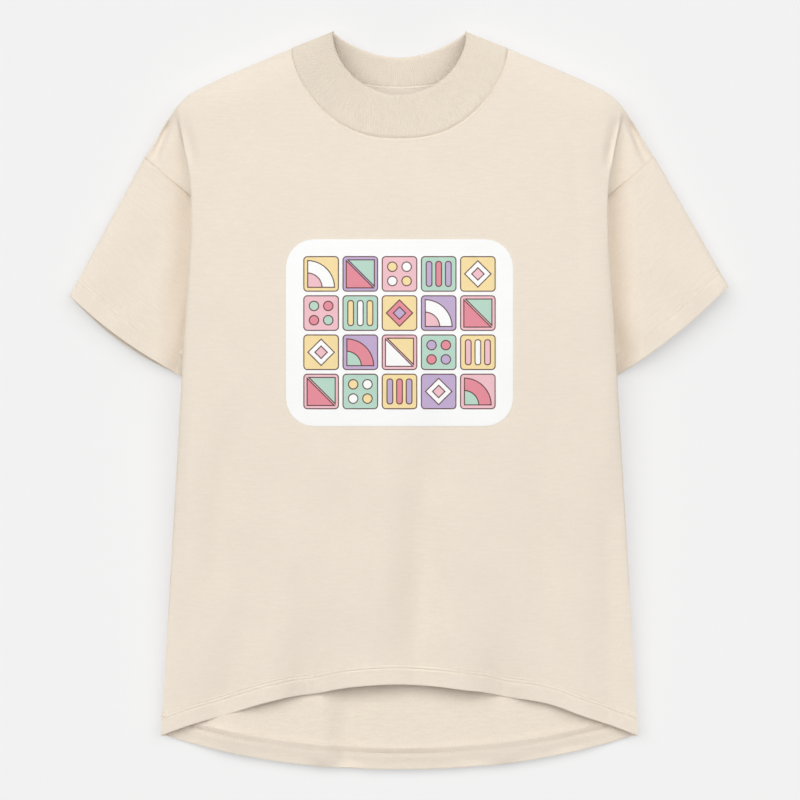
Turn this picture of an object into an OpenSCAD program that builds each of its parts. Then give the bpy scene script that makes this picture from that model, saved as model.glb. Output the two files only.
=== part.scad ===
// Cream jersey T-shirt with a ribbed mock neck, dropped shoulders, short sleeves and a dipped back
// hem, laid on its back with some air left in it. Millimetres: X across the chest, Y towards the
// neck, Z up through the front. The origin is on the resting surface, at the middle of the shirt.

/* [Body] */
// Length from the neck point of the shoulder down to the side hem
body_len = 688; // [620:1:760]
// Width across the hem as it lies
hem_w = 478; // [450:1:520]
// Width across the chest at the underarm as it lies
chest_w = 430; // [410:1:460]
// How far the front hem arches up at the middle
front_arch = 51; // [10:1:90]
// How far the back hem dips at the middle
back_dip = 34; // [10:1:80]
// Height of the front over the resting surface at the chest
chest_h = 48; // [38:1:66]
// Height of the front over the resting surface at the hem
hem_h = 22; // [16:1:40]
// Height of the side edge at the hem
hem_edge_h = 14; // [10:1:22]
// Height of the side edge beside the arm
arm_edge_h = 32; // [27:1:37]

/* [Shoulders] */
// Width between the points where the shoulders fold over
shoulder_w = 446; // [430:1:470]
// Fall of the shoulder from the neck point to that fold
shoulder_fall = 58; // [48:1:68]
// Width that the two dropped shoulders add beyond those folds, to the tops of the armhole seams
drop_w = 65; // [44:1:94]
// Fall from the neck point to the top of the armhole seam
drop_fall = 108; // [98:1:120]
// Width that the body loses below them, to the folds where it lies over the sleeves
fold_w = 29; // [18:1:44]
// Fall from the neck point to where the armhole seam goes under that fold
fold_fall = 151; // [140:1:170]
// Fall from the neck point to the underarm
underarm_fall = 283; // [260:1:300]
// Height of the shoulder seam where the shoulder folds over
shoulder_h = 24; // [19:1:29]
// Height of the shoulder seam at the top of the armhole
drop_h = 12; // [9:1:16]

/* [Neck] */
// Width of the neckline between the shoulder seams
neck_w = 217; // [195:1:240]
// Fall of the front neckline at the middle
front_neck_fall = 91; // [70:1:110]
// Fall of the back neckline at the middle
back_neck_fall = 36; // [28:1:48]
// Width of the collar's top edge
collar_w = 136; // [120:1:155]
// Rise of the collar's top edge over the neck point
collar_rise = 16; // [8:1:26]
// Fall of the collar's top edge at the middle of the front
collar_front_fall = 64; // [50:1:80]
// Fall of the collar's top edge at the middle of the back
collar_back_fall = 25; // [18:1:34]
// Height of the collar's top edge at the middle of the front
collar_front_h = 34; // [27:1:43]
// Height of the collar's top edge at its sides
collar_side_h = 24; // [19:1:31]
// Height of the collar's top edge at the middle of the back
collar_back_h = 5; // [3:1:14]
// Height of the neckline seam at its sides
neck_edge_h = 20; // [16:1:24]
// Height of the front over the resting surface at the neck
neck_h = 34; // [26:1:44]

/* [Sleeves] */
// Length of the sleeve along its outer fold
sleeve_len = 155; // [145:1:200]
// Slope of the sleeve's outer fold below the horizontal
sleeve_angle = 61; // [56:1:66]
// Slope of the sleeve hem below the horizontal
cuff_angle = 38; // [34:1:42]
// Height of the sleeve over the resting surface at its hem
cuff_h = 22; // [14:1:28]

/* [Cloth] */
// Thickness of the jersey
jersey_t = 0.9; // [0.7:0.1:1.2]
// Thickness of one layer of the collar rib
rib_t = 1.2; // [0.9:0.1:1.5]
// Depth of the turned hems
hem_depth = 20; // [14:1:28]
// Gap between two cloths at a seam
seam_gap = 0.2; // [0.1:0.05:0.4]

/* [Neck tape] */
// Width of the tape along the back neck seam
tape_w = 10; // [6:1:14]
// Thickness of the tape
tape_t = 0.8; // [0.5:0.1:1.2]

/* [Print] */
// Width of the transfer film on the chest
print_w = 226; // [150:1:260]
// Height of the transfer film on the chest
print_l = 186; // [120:1:210]
// Fall from the neck point to the film's middle
print_fall = 285; // [250:1:320]
// Radius of the film's corners
print_corner = 28; // [10:1:50]
// Thickness of the film
film_t = 0.4; // [0.2:0.1:0.6]

/* [Hidden] */
jersey_colour = [0.93, 0.88, 0.80];
rib_colour = [0.90, 0.85, 0.77];
tape_colour = [0.95, 0.90, 0.83];
film_colour = [0.98, 0.98, 0.97];

// Levels along the length, with the middle of the shirt at zero
top_y = (collar_rise + body_len + back_dip) / 2;
neck_y = top_y - collar_rise;
hem_y = neck_y - body_len;
arm_y = neck_y - underarm_fall;
fold_y = neck_y - fold_fall;
shoulder_y = neck_y - shoulder_fall;
drop_y = neck_y - drop_fall;

// Half widths: the shoulder fold, the top of the armhole seam and the fold over the sleeve
shoulder_x = shoulder_w / 2;
drop_x = (shoulder_w + drop_w) / 2;
fold_x = (shoulder_w - fold_w) / 2;

// The shoulder is straight from the neck to its knee, then rounds over the arm
knee_in = 20;
knee_x = shoulder_x - knee_in;
knee_slope = 0.44;
knee_y = neck_y - knee_slope * (knee_x - neck_w / 2);

// How far in from an edge the cloth takes to level out
side_round = 34;
shoulder_round = 34;
under_round = 36;
// How far the side seam lies behind and under the edge
seam_in = 3;
seam_down = 9;
// How much lower the front lies at the sides than at the middle
chest_arch = 7;
// How fast the back armhole seam comes down to the surface, and lifts again to the shoulder
gusset_l = 42;
// Share of the dropped shoulder that stays level before it turns down to the armhole seam, and the
// fall of that turn at the top
drop_level = 0.35;
drop_turn = 1;
// Shares of the sleeve hem that round its outer and its inner fold
cuff_out_round = 0.2;
cuff_in_round = 0.25;
// Gaps between the sleeve and the body, the collar and the body, the tape and the back, and the film
// and the front
sleeve_gap = 2 * seam_gap;
collar_gap = 1.5 * seam_gap;
tape_gap = 0.3;
film_gap = 0.4;
// How far the tape reaches round the neck from the middle of the back, in degrees
tape_reach = 42;
// Roundness of the necklines and of the back hem: 2 is a parabola, more is flatter in the middle
front_neck_power = 2.8;
back_neck_power = 2.2;
back_hem_power = 2.2;
// Roundness of the collar's top edge: 1 is an ellipse, 2 is a parabola
collar_front_power = 1.05;
collar_back_power = 2;

// Soft folds of the front: x at the hem, x at the top, fall of the top below the neck point,
// half width and height
folds = [
    [-177, -104, 330, 20, -4.5],
    [-140, -85, 380, 18, 2],
    [-95, -80, 430, 18, -3],
    [-40, -30, 360, 20, 3.5],
    [-4, 12, 360, 17, -4],
    [58, 48, 380, 22, 3.5],
    [107, 98, 450, 18, -3],
    [153, 133, 370, 18, -3],
    [180, 165, 420, 14, 2.5],
    [213, 200, 390, 14, -3]
];

// Number of cells across half of the neckline, the shoulder and the edge strip
neck_cols = 8;
shoulder_cols = 6;
strip_cols = 4;
main_cols = neck_cols + shoulder_cols;
half_cols = main_cols + strip_cols;
// Rows run from the hem (0) by the underarm (1) and the fold (2) to the shoulder (3)
hem_step = 2;
body_l = arm_y - hem_y;
body_rows = 7;
arm_rows = 6;
top_rows = 8;
rows = concat(
    [0, hem_depth / body_l],
    [for (k = [0 : body_rows]) mix((hem_depth + hem_step) / body_l, 1, k / body_rows)],
    [for (k = [1 : arm_rows]) 2 - cos(90 * k / arm_rows)],
    [for (k = [1 : top_rows]) 2 + (1 - cos(180 * k / top_rows)) / 2]
);
last_row = len(rows) - 1;
// Rings of the sleeve and of the collar, cells along the tape, across the film and round its corners
sleeve_rings = 8;
collar_rings = 5;
fold_steps = 4;
tape_cells = 14;
film_cells = 8;
corner_cells = 3;
film_rows = 13;

function mix(a, b, t) = a + (b - a) * t;
function clamp(t) = min(1, max(0, t));
function ease(t) = let (k = clamp(t)) k * k * (3 - 2 * k);
function unit(v) = v / norm(v);
function sign_of(x) = x < 0 ? -1 : 1;

// Quarter round: starts straight up at 0 and is level from 1 on
function dome(t) = let (k = 1 - clamp(t)) sqrt(1 - k * k);

// Smooth curve through [x, value] pairs, straight beyond its ends
function slope_at(p, i) = let (a = p[max(i - 1, 0)], b = p[min(i + 1, len(p) - 1)])
    (b[1] - a[1]) / (b[0] - a[0]);
function curve(x, p) =
    let (last = len(p) - 1)
    x <= p[0][0] ? p[0][1] + slope_at(p, 0) * (x - p[0][0])
    : x >= p[last][0] ? p[last][1] + slope_at(p, last) * (x - p[last][0])
    : let (
        i = len([for (q = p) if (q[0] <= x) 1]) - 1,
        h = p[i + 1][0] - p[i][0],
        t = (x - p[i][0]) / h,
        s = t * t * (3 - 2 * t)
    ) mix(p[i][1], p[i + 1][1], s)
      + h * t * (1 - t) * (slope_at(p, i) * (1 - t) - slope_at(p, i + 1) * t);

// Edge of the body as seen from above, from the hem up to the shoulder fold, and its height
function edge_x(y) = curve(y, [
    [hem_y, hem_w / 2], [arm_y, chest_w / 2], [fold_y, fold_x], [shoulder_y, shoulder_x]
]);
function edge_h(y) = curve(y, [
    [hem_y, hem_edge_h], [arm_y, arm_edge_h], [fold_y, arm_edge_h], [shoulder_y, shoulder_h],
    [neck_y, neck_edge_h]
]);
function side_seam(y) = [edge_x(y) - seam_in, y, edge_h(y) - seam_down];

// Shoulder line as seen from above, and how far a point lies below it
function shoulder_at(x) = curve(x, [
    [neck_w / 2, neck_y], [knee_x, knee_y], [shoulder_x, shoulder_y], [drop_x, drop_y]
]);
function below_shoulder(x, y) =
    let (s = shoulder_at(x + 1) - shoulder_at(x)) (shoulder_at(x) - y) / sqrt(1 + s * s);

// Height of the back's rim: the side seam, the armhole seam and the shoulder seam
function rim_h(y) =
    y <= arm_y ? edge_h(y) - seam_down
    : y <= drop_y ? (arm_edge_h - seam_down) * (1 - dome((y - arm_y) / gusset_l))
                    + drop_h * (1 - dome((drop_y - y) / gusset_l))
    : y <= shoulder_y ? mix(drop_h, shoulder_h, (y - drop_y) / (shoulder_y - drop_y))
    : edge_h(y);
function rim_x(y) =
    y <= arm_y ? side_seam(y).x
    : mix(side_seam(arm_y).x, drop_x, (y - arm_y) / (drop_y - arm_y));

// Heights of the front and of the back
function fold_h(x, y) = [
    for (f = folds)
        let (
            top = neck_y - f[2],
            down = clamp((top - y) / (top - hem_y)),
            off = (x - mix(f[1], f[0], down)) / f[3]
        ) f[4] * ease(down) * exp(-off * off)
] * [for (f = folds) 1];
function crown_h(x, y) =
    curve(y, [[hem_y, hem_h], [arm_y, chest_h], [neck_y, neck_h]])
    - chest_arch * pow(x / (chest_w / 2), 2) + fold_h(x, y);
function front_h(x, y) = mix(
    edge_h(y), crown_h(x, y),
    dome((edge_x(y) - abs(x)) / side_round) * dome(below_shoulder(abs(x), y) / shoulder_round)
);
function back_h(x, y) = rim_h(y) * (
    1 - dome((rim_x(y) - abs(x)) / under_round) * dome(below_shoulder(abs(x), y) / under_round)
);

// Necklines by angle: 0 at the right shoulder, 90 at the front, 180 left, 270 at the back
function front_neck(a) =
    let (
        x = neck_w / 2 * cos(a),
        y = neck_y - front_neck_fall * (1 - pow(abs(cos(a)), front_neck_power))
    ) [x, y, front_h(x, y)];
function back_neck(a) =
    let (
        x = neck_w / 2 * cos(a),
        y = neck_y - back_neck_fall * (1 - pow(abs(cos(a)), back_neck_power))
    ) [x, y, back_h(x, y)];
function neckline(a) = sin(a) >= 0 ? front_neck(a) : back_neck(a);

// Columns count outward from the middle: neckline, shoulder, then the strip over the edge
function col_u(i) =
    let (neck_u = neck_w / 2 / shoulder_x)
    i <= neck_cols ? neck_u * i / neck_cols
    : mix(neck_u, 1, sin(90 * (i - neck_cols) / shoulder_cols));
function strip_r(i) = (i - main_cols) / strip_cols;
function seam_top(i) =
    let (
        x = i <= main_cols ? shoulder_x * col_u(i) : mix(shoulder_x, drop_x, strip_r(i)),
        y = shoulder_at(x)
    ) [x, y, rim_h(y)];
function neck_angle(i) = 90 * (1 - i / neck_cols);

// Where a row meets the edge and the seam
function row_y(w) =
    w <= 1 ? mix(hem_y, arm_y, w)
    : w <= 2 ? mix(arm_y, fold_y, w - 1)
    : mix(fold_y, shoulder_y, w - 2);
function row_v(w) = (row_y(w) - hem_y) / (shoulder_y - hem_y);
function edge_point(w) = let (y = row_y(w)) [edge_x(y), y, edge_h(y)];
function front_seam(w) =
    w <= 2 ? side_seam(row_y(w))
    : let (
        low = side_seam(fold_y),
        p = mix(low, [drop_x, drop_y, drop_h], w - 2)
    ) [p.x, p.y, mix(drop_h, low.z, dome(3 - w))];
function back_seam(w) =
    w <= 1 ? side_seam(row_y(w))
    : let (y = mix(arm_y, drop_y, (w - 1) / 2)) [rim_x(y), y, rim_h(y)];

// Blend of four edges into a patch: left and right at v, bottom and top at u
function patch(left, right, bottom, top, corners, u, v) =
    mix(left, right, u) + mix(bottom, top, v)
    - mix(mix(corners[0], corners[1], u), mix(corners[2], corners[3], u), v);

// Front seen from above, right half: the main patch, then the strip over the edge
function front_hem(x) = [x, hem_y + front_arch * (1 - pow(x / (hem_w / 2), 2)), 0];
function front_main(i, w) =
    let (
        v = row_v(w),
        u = col_u(i),
        low = front_hem(0),
        high = front_neck(90),
        p = patch(
            mix(low, high, v), edge_point(w), front_hem(hem_w / 2 * u),
            i <= neck_cols ? front_neck(neck_angle(i)) : seam_top(i),
            [low, edge_point(0), high, edge_point(3)], u, v
        )
    ) [p.x, p.y];
function bezier(a, b, c, d, t) =
    let (s = 1 - t) s * s * s * a + 3 * s * s * t * b + 3 * s * t * t * c + t * t * t * d;
function front_strip(i, w) =
    let (
        a = edge_point(w),
        d = front_seam(w),
        f = max(w - 2, 0),
        drop = [0, 0, mix(seam_down, drop_turn, f) / 3],
        reach = f * drop_level * [a.x - d.x, a.y - d.y, 0]
    ) bezier(a, a - drop, d + reach + drop, d, strip_r(i));
function front_point(side, i, w) =
    w == 3 && i >= neck_cols ? let (p = seam_top(i)) [side * p.x, p.y, p.z + seam_gap / 2]
    : i <= main_cols ? let (p = front_main(i, w), x = side * p.x) [x, p.y, front_h(x, p.y)]
    : let (p = front_strip(i, w), lift = i == half_cols && w <= 1 ? seam_gap / 2 : 0)
      [side * p.x, p.y, p.z + lift];

// Back seen from above, right half
function back_hem(x) =
    let (half = side_seam(hem_y).x) [x, hem_y - back_dip * (1 - pow(x / half, back_hem_power)), 0];
function back_u(i) =
    let (main_u = shoulder_x / drop_x)
    i <= main_cols ? main_u * col_u(i) : mix(main_u, 1, sin(90 * strip_r(i)));
function back_point(side, i, w) =
    let (
        v = row_v(w),
        u = back_u(i),
        low = back_hem(0),
        high = back_neck(270),
        seam = back_seam(w),
        p = patch(
            mix(low, high, v), seam, back_hem(side_seam(hem_y).x * u),
            i <= neck_cols ? back_neck(-neck_angle(i)) : seam_top(i),
            [low, side_seam(hem_y), high, [drop_x, drop_y, 0]], u, v
        ),
        on_rim = i == half_cols || (w == 3 && i >= neck_cols)
    ) [side * p.x, p.y, max(0, on_rim ? rim_h(p.y) - seam_gap / 2 : back_h(p.x, p.y))];

// Outward unit normal of a grid of points
function normal_at(g, i, j, closed) =
    let (
        n = len(g),
        m = len(g[0]) - 1,
        before = closed ? g[(i + n - 1) % n] : g[max(i - 1, 0)],
        after = closed ? g[(i + 1) % n] : g[min(i + 1, n - 1)]
    ) unit(cross(after[j] - before[j], g[i][min(j + 1, m)] - g[i][max(j - 1, 0)]));

// Level outward direction at the shoulder seam of a column and at the side seam of a row
function shoulder_out(i) =
    let (d = seam_top(min(i + 1, half_cols)) - seam_top(max(i - 1, neck_cols))) unit([-d.y, d.x, 0]);
function side_out(w) = let (y = row_y(w)) unit([1, edge_x(y) - edge_x(y + 1), 0]);

// Closed solid from a row of closed sections, capped at its two ends unless it runs round
module sweep(sections, closed) {
    n = len(sections);
    m = len(sections[0]);
    function id(i, k) = (i % n) * m + k % m;
    function quad(a, b, c, d) = [[a, b, c], [a, c, d]];
    // An open row of sections is split along its diagonals alike on both sides of its middle
    function cell(i, k) = closed || i < (n - 1) / 2
        ? quad(id(i, k), id(i, k + 1), id(i + 1, k + 1), id(i + 1, k))
        : quad(id(i, k + 1), id(i + 1, k + 1), id(i + 1, k), id(i, k));
    polyhedron(
        points = [for (s = sections) each s],
        faces = concat(
            [for (i = [0 : closed ? n - 1 : n - 2], k = [0 : m - 1]) each cell(i, k)],
            closed ? [] : [for (k = [0 : m / 2 - 2])
                each quad(id(0, k), id(0, m - 1 - k), id(0, m - 2 - k), id(0, k + 1))],
            closed ? [] : [for (k = [0 : m / 2 - 2])
                each quad(id(n - 1, k), id(n - 1, k + 1), id(n - 1, m - 2 - k), id(n - 1, m - 1 - k))]
        )
    );
}

// Cloth of a given thickness in each row, under a grid of outer points
module cloth(grid, normals, thick, closed = false) {
    last = len(thick) - 1;
    sweep([
        for (i = [0 : len(grid) - 1]) concat(
            grid[i],
            [for (j = [last : -1 : 0]) grid[i][j] - thick[j] * normals[i][j]]
        )
    ], closed);
}

// The two body panels: columns from seam to seam, rows from the hem to the shoulder
front_columns = [for (i = [-half_cols : half_cols]) i];
front_grid = [for (i = front_columns) [for (w = rows) front_point(sign_of(i), abs(i), w)]];
back_columns = [for (i = [half_cols : -1 : -half_cols]) i];
back_grid = [for (i = back_columns) [for (w = rows) back_point(sign_of(i), abs(i), w)]];
function panel_normal(columns, grid, i, j) =
    let (
        k = abs(columns[i]),
        at_shoulder = j == last_row && k >= neck_cols,
        at_side = k == half_cols && rows[j] <= 1,
        out = at_shoulder ? shoulder_out(k) : side_out(rows[j])
    ) at_shoulder || at_side ? [sign_of(columns[i]) * out.x, out.y, 0] : normal_at(grid, i, j, false);
function panel_normals(columns, grid) = [
    for (i = [0 : 2 * half_cols]) [for (j = [0 : last_row]) panel_normal(columns, grid, i, j)]
];
panel_thick = [for (j = [0 : last_row]) j <= 1 ? 2 * jersey_t : jersey_t];

module front_panel() {
    color(jersey_colour) cloth(front_grid, panel_normals(front_columns, front_grid), panel_thick);
}

module back_panel() {
    color(jersey_colour) cloth(back_grid, panel_normals(back_columns, back_grid), panel_thick);
}

// Sleeve: a flattened tube from the armhole seam to its hem; the wearer's left one lies at +X
cuff_out = [drop_x, drop_y, drop_h] + sleeve_len * [cos(sleeve_angle), -sin(sleeve_angle), 0];
cuff_tuck = 0.5;
inner_fold_h = 6;
// How closely the gap to the body is kept to the inner fold
inner_power = 4;
function cuff_meet_y(x) = cuff_out.y - (cuff_out.x - x) * tan(cuff_angle);
cuff_in_y = cuff_meet_y(edge_x(cuff_meet_y(edge_x(arm_y))) - cuff_tuck);
cuff_in = [edge_x(cuff_in_y) - cuff_tuck, cuff_in_y, inner_fold_h];
arm_stations = [for (w = rows) if (w >= 1) w];
stations = len(arm_stations);
drop_share = 0.35;
function cuff_share(w) =
    w >= 2 ? (3 - w) * drop_share : mix(drop_share, 1, 2 - w);
function cuff_round(g) = dome(g / cuff_out_round) * dome((1 - g) / cuff_in_round);
function cuff_point(g, upper) =
    let (p = mix(cuff_out, cuff_in, g))
    [p.x, p.y, upper ? mix(p.z, cuff_h, cuff_round(g)) : p.z * (1 - cuff_round(g))];
function sleeve_point(k, s) =
    let (
        upper = k < stations,
        w = arm_stations[upper ? stations - 1 - k : k - stations + 1],
        g = cuff_share(w),
        root = upper ? front_seam(w) : back_seam(w),
        p = patch(
            mix(front_seam(3), cuff_out, s), mix(front_seam(1), cuff_in, s),
            root, cuff_point(g, upper),
            [front_seam(3), front_seam(1), cuff_out, cuff_in], g, s
        )
    ) [p.x + sleeve_gap * pow(g, inner_power), p.y, max(0, p.z)];

module left_sleeve() {
    hem_s = hem_depth / sleeve_len;
    gap_s = sleeve_gap / sleeve_len;
    along = concat(
        [for (k = [0 : sleeve_rings]) mix(gap_s, 1 - hem_s - hem_step / sleeve_len, k / sleeve_rings)],
        [1 - hem_s, 1]
    );
    count = 2 * stations - 2;
    grid = [for (k = [0 : count - 1]) [for (s = along) sleeve_point(k, s)]];
    last = len(along) - 1;
    thick = [for (j = [0 : last]) j >= last - 1 ? 2 * jersey_t : jersey_t];
    normals = [for (i = [0 : count - 1]) [for (j = [0 : last]) normal_at(grid, i, j, true)]];
    color(jersey_colour) cloth(grid, normals, thick, closed = true);
}

module right_sleeve() mirror([1, 0, 0]) left_sleeve();

// Collar: a doubled band of rib with its fold at the top edge
function collar_top(a) =
    let (
        front = sin(a) >= 0,
        fall = front ? collar_front_fall : collar_back_fall,
        power = front ? collar_front_power : collar_back_power,
        rise = front ? collar_front_h - collar_side_h : collar_side_h - collar_back_h
    ) [collar_w / 2 * cos(a), top_y - fall * pow(abs(sin(a)), power), collar_side_h + rise * sin(a)];

module collar_rib() {
    seams = concat(
        [for (i = [-neck_cols : neck_cols]) [i, 1]],
        [for (i = [neck_cols - 1 : -1 : 1 - neck_cols]) [i, -1]]
    );
    angles = [for (s = seams) s[0] < 0 ? 180 - neck_angle(-s[0]) : neck_angle(s[0])];
    grid = [for (i = [0 : len(seams) - 1]) [
        for (k = [0 : collar_rings])
            let (
                low = neckline(seams[i][1] * angles[i]),
                high = collar_top(seams[i][1] * angles[i]),
                h = norm(high - low)
            ) mix(low, high, mix(collar_gap / h, 1, k / collar_rings))
    ]];
    // The foot of the band is cut square to the panel that it is sewn to
    feet = [for (s = seams) s[1] > 0
        ? panel_normal(front_columns, front_grid, half_cols + s[0], last_row)
        : panel_normal(back_columns, back_grid, half_cols - s[0], last_row)];
    color(rib_colour) sweep([
        for (i = [0 : len(seams) - 1])
            let (
                normals = [for (k = [0 : collar_rings]) k == 0 ? feet[i] : normal_at(grid, i, k, true)],
                tip = grid[i][collar_rings],
                out = normals[collar_rings],
                up = unit(tip - grid[i][0]),
                middle = tip - rib_t * out
            ) concat(
                grid[i],
                [for (k = [1 : fold_steps - 1])
                    let (b = 180 * k / fold_steps) middle + rib_t * (cos(b) * out + sin(b) * up)],
                [for (k = [collar_rings : -1 : 0]) grid[i][k] - 2 * rib_t * normals[k]]
            )
    ], true);
}

// Tape that covers the back neck seam on the inside
module neck_tape() {
    grid = [for (i = [0 : tape_cells])
        let (
            a = 270 + mix(-tape_reach, tape_reach, i / tape_cells),
            edge = back_neck(a),
            ahead = back_neck(a + 1),
            down = unit([edge.y - ahead.y, ahead.x - edge.x]) * -1
        ) [for (d = [tape_w + 2 * rib_t, 2 * rib_t])
            let (x = edge.x + d * down.x, y = edge.y + d * down.y)
            [x, y, back_h(x, y) + jersey_t + tape_gap + tape_t]]
    ];
    normals = [for (col = grid) [for (p = col) [0, 0, 1]]];
    color(tape_colour) cloth(grid, normals, [tape_t, tape_t]);
}

// Transfer film with round corners that lies on the chest
module chest_print() {
    flat_x = print_w / 2 - print_corner;
    flat_y = print_l / 2 - print_corner;
    turns = [for (k = [1 : corner_cells]) 90 * k / corner_cells];
    // Columns from the left side to the right: the place of each and its turn round a corner
    columns = concat(
        [for (k = [corner_cells - 1 : -1 : 0]) [-flat_x - print_corner * sin(turns[k]), turns[k]]],
        [for (k = [0 : film_cells]) [flat_x * (2 * k / film_cells - 1), 0]],
        [for (b = turns) [flat_x + print_corner * sin(b), b]]
    );
    grid = [for (c = columns) [
        for (j = [0 : film_rows])
            let (
                half = flat_y + print_corner * cos(c[1]),
                y = neck_y - print_fall + half * (2 * j / film_rows - 1)
            ) [c[0], y, front_h(c[0], y) + film_gap + film_t]
    ]];
    normals = [for (col = grid) [for (p = col) [0, 0, 1]]];
    color(film_colour) cloth(grid, normals, [for (j = [0 : film_rows]) film_t]);
}

front_panel();
back_panel();
left_sleeve();
right_sleeve();
collar_rib();
neck_tape();
chest_print();
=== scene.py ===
"""Cream jersey T-shirt with a ribbed mock neck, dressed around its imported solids.

The shirt lies on its back with some air left in it. Metres, in the frame of the solids: X across the
chest, Y towards the neck, Z up through the front. The cloth follows the curves of the solids and lies as
it came to rest, with the folds, hems, ribs, threads and print that make it cloth.
"""

from __future__ import annotations

import logging
import math
from dataclasses import dataclass, field
from enum import Enum
from typing import Sequence

import bpy
import numpy as np
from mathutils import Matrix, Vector
from mathutils.geometry import delaunay_2d_cdt


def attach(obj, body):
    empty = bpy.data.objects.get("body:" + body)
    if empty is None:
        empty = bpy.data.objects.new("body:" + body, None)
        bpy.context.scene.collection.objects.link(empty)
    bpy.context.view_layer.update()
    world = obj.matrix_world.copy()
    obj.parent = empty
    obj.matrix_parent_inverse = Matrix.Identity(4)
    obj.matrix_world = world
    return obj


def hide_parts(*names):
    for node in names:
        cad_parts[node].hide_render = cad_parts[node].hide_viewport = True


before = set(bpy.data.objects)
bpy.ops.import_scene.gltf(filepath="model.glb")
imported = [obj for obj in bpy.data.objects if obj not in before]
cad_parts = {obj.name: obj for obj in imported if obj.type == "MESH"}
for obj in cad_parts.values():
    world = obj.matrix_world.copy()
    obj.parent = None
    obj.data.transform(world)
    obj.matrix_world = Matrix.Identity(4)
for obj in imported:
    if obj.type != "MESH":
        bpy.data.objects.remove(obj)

Array = np.ndarray
Value = float | Array
Colour = tuple[int, int, int]
LOG = logging.getLogger("shirt")
BODY = "root"
TINY = 1e-12
FACE_GAIN = 3.0


def mix(a: Value, b: Value, t: Value) -> Value:
    """Blend from a to b as t goes from 0 to 1."""
    return a + (b - a) * t


def ease(t: Array) -> Array:
    """Smooth step from 0 to 1."""
    k = np.clip(t, 0.0, 1.0)
    return k * k * (3 - 2 * k)


def dome(t: Array) -> Array:
    """Quarter round that starts straight up at 0 and is level from 1 on."""
    k = 1 - np.clip(t, 0.0, 1.0)
    return np.sqrt(1 - k * k)


def bell(off: Array, width: float) -> Array:
    """Bell of height 1 over the distance from its middle."""
    return np.exp(-((off / width) ** 2))


def curve(x: Array, pairs: Sequence[tuple[float, float]]) -> Array:
    """Smooth curve through (x, value) pairs, straight beyond its ends.

    Args:
        x: Places at which the curve is read.
        pairs: Knots of the curve, in rising order of x.

    Returns:
        The value of the curve at each place.
    """
    knots = np.array(pairs, float)
    at, value = knots[:, 0], knots[:, 1]
    last = len(at) - 1
    before = np.maximum(np.arange(last + 1) - 1, 0)
    after = np.minimum(np.arange(last + 1) + 1, last)
    slope = (value[after] - value[before]) / (at[after] - at[before])
    x = np.asarray(x, float)
    i = np.clip(np.searchsorted(at, x, side="right") - 1, 0, last - 1)
    step = at[i + 1] - at[i]
    t = (x - at[i]) / step
    bend = step * t * (1 - t) * (slope[i] * (1 - t) - slope[i + 1] * t)
    inside = mix(value[i], value[i + 1], t * t * (3 - 2 * t)) + bend
    low = value[0] + slope[0] * (x - at[0])
    high = value[last] + slope[last] * (x - at[last])
    return np.where(x <= at[0], low, np.where(x >= at[last], high, inside))


def points(x: Value, y: Value, z: Value) -> Array:
    """Points from their three coordinates, spread to a common size."""
    return np.stack(np.broadcast_arrays(*(np.asarray(c, float) for c in (x, y, z))), -1)


def patch(left: Array, right: Array, bottom: Array, top: Array, corners: Sequence[Array], u: Array,
          v: Array) -> Array:
    """Blend of four edges into a patch.

    Args:
        left: Points of the left edge at v.
        right: Points of the right edge at v.
        bottom: Points of the bottom edge at u.
        top: Points of the top edge at u.
        corners: Bottom left, bottom right, top left and top right corner.
        u: Place across the patch, from 0 to 1.
        v: Place along the patch, from 0 to 1.

    Returns:
        The points of the patch.
    """
    low = mix(corners[0], corners[1], u)
    high = mix(corners[2], corners[3], u)
    return mix(left, right, u) + mix(bottom, top, v) - mix(low, high, v)


def bezier(a: Array, b: Array, c: Array, d: Array, t: Array) -> Array:
    """Cubic curve from a to d with the handles b and c."""
    s = 1 - t
    return s**3 * a + 3 * s * s * t * b + 3 * s * t * t * c + t**3 * d


def unit(vectors: Array) -> Array:
    """The same directions at length 1."""
    return vectors / np.maximum(np.linalg.norm(vectors, axis=-1, keepdims=True), TINY)


def normals_of(grid: Array, closed: bool = False) -> Array:
    """Unit normals of a grid of points, from its columns crossed with its rows.

    Args:
        grid: Points, by column and row.
        closed: Whether the last column runs on into the first.

    Returns:
        One normal for each point.
    """
    if closed:
        across = np.roll(grid, -1, 0) - np.roll(grid, 1, 0)
    else:
        across = np.gradient(grid, axis=0)
    return unit(np.cross(across, np.gradient(grid, axis=1)))


def facing_up(normals: Array) -> Array:
    """Share from 0 where the cloth looks level or down to 1 where it looks up."""
    return np.clip(normals[..., 2] * FACE_GAIN, 0, 1)


def run_along(grid: Array, axis: int) -> Array:
    """Length along the grid lines from their first point, at each point.

    Args:
        grid: Points, by column and row.
        axis: 0 to go from column to column, 1 from row to row.

    Returns:
        The length at each point.
    """
    steps = np.linalg.norm(np.diff(grid, axis=axis), axis=-1)
    pad = [(0, 0), (0, 0)]
    pad[axis] = (1, 0)
    return np.pad(np.cumsum(steps, axis=axis), pad)


def line_run(line: Array) -> Array:
    """Length along a line from its first point, at each point."""
    return np.concatenate([[0], np.cumsum(np.linalg.norm(np.diff(line, axis=0), axis=1))])


def read_line(line: Array, run: Array, at: Array) -> Array:
    """Points of a line at the given runs.

    Args:
        line: Points or directions along the line.
        run: Length along the line at each of them.
        at: Lengths at which the line is read.

    Returns:
        The points there.
    """
    return np.stack([np.interp(at, run, line[:, axis]) for axis in range(3)], -1)


@dataclass(frozen=True)
class SeamDip:
    """Groove of the cloth at a seam, with the low ridge of the allowance beside it."""

    depth: float
    half_w: float
    ridge_h: float
    ridge_at: float
    ridge_w: float

    def lift(self, away: Array) -> Array:
        """Height that the seam adds at a distance from it."""
        return self.ridge_h * bell(away - self.ridge_at, self.ridge_w) - self.depth * bell(away, self.half_w)


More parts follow.
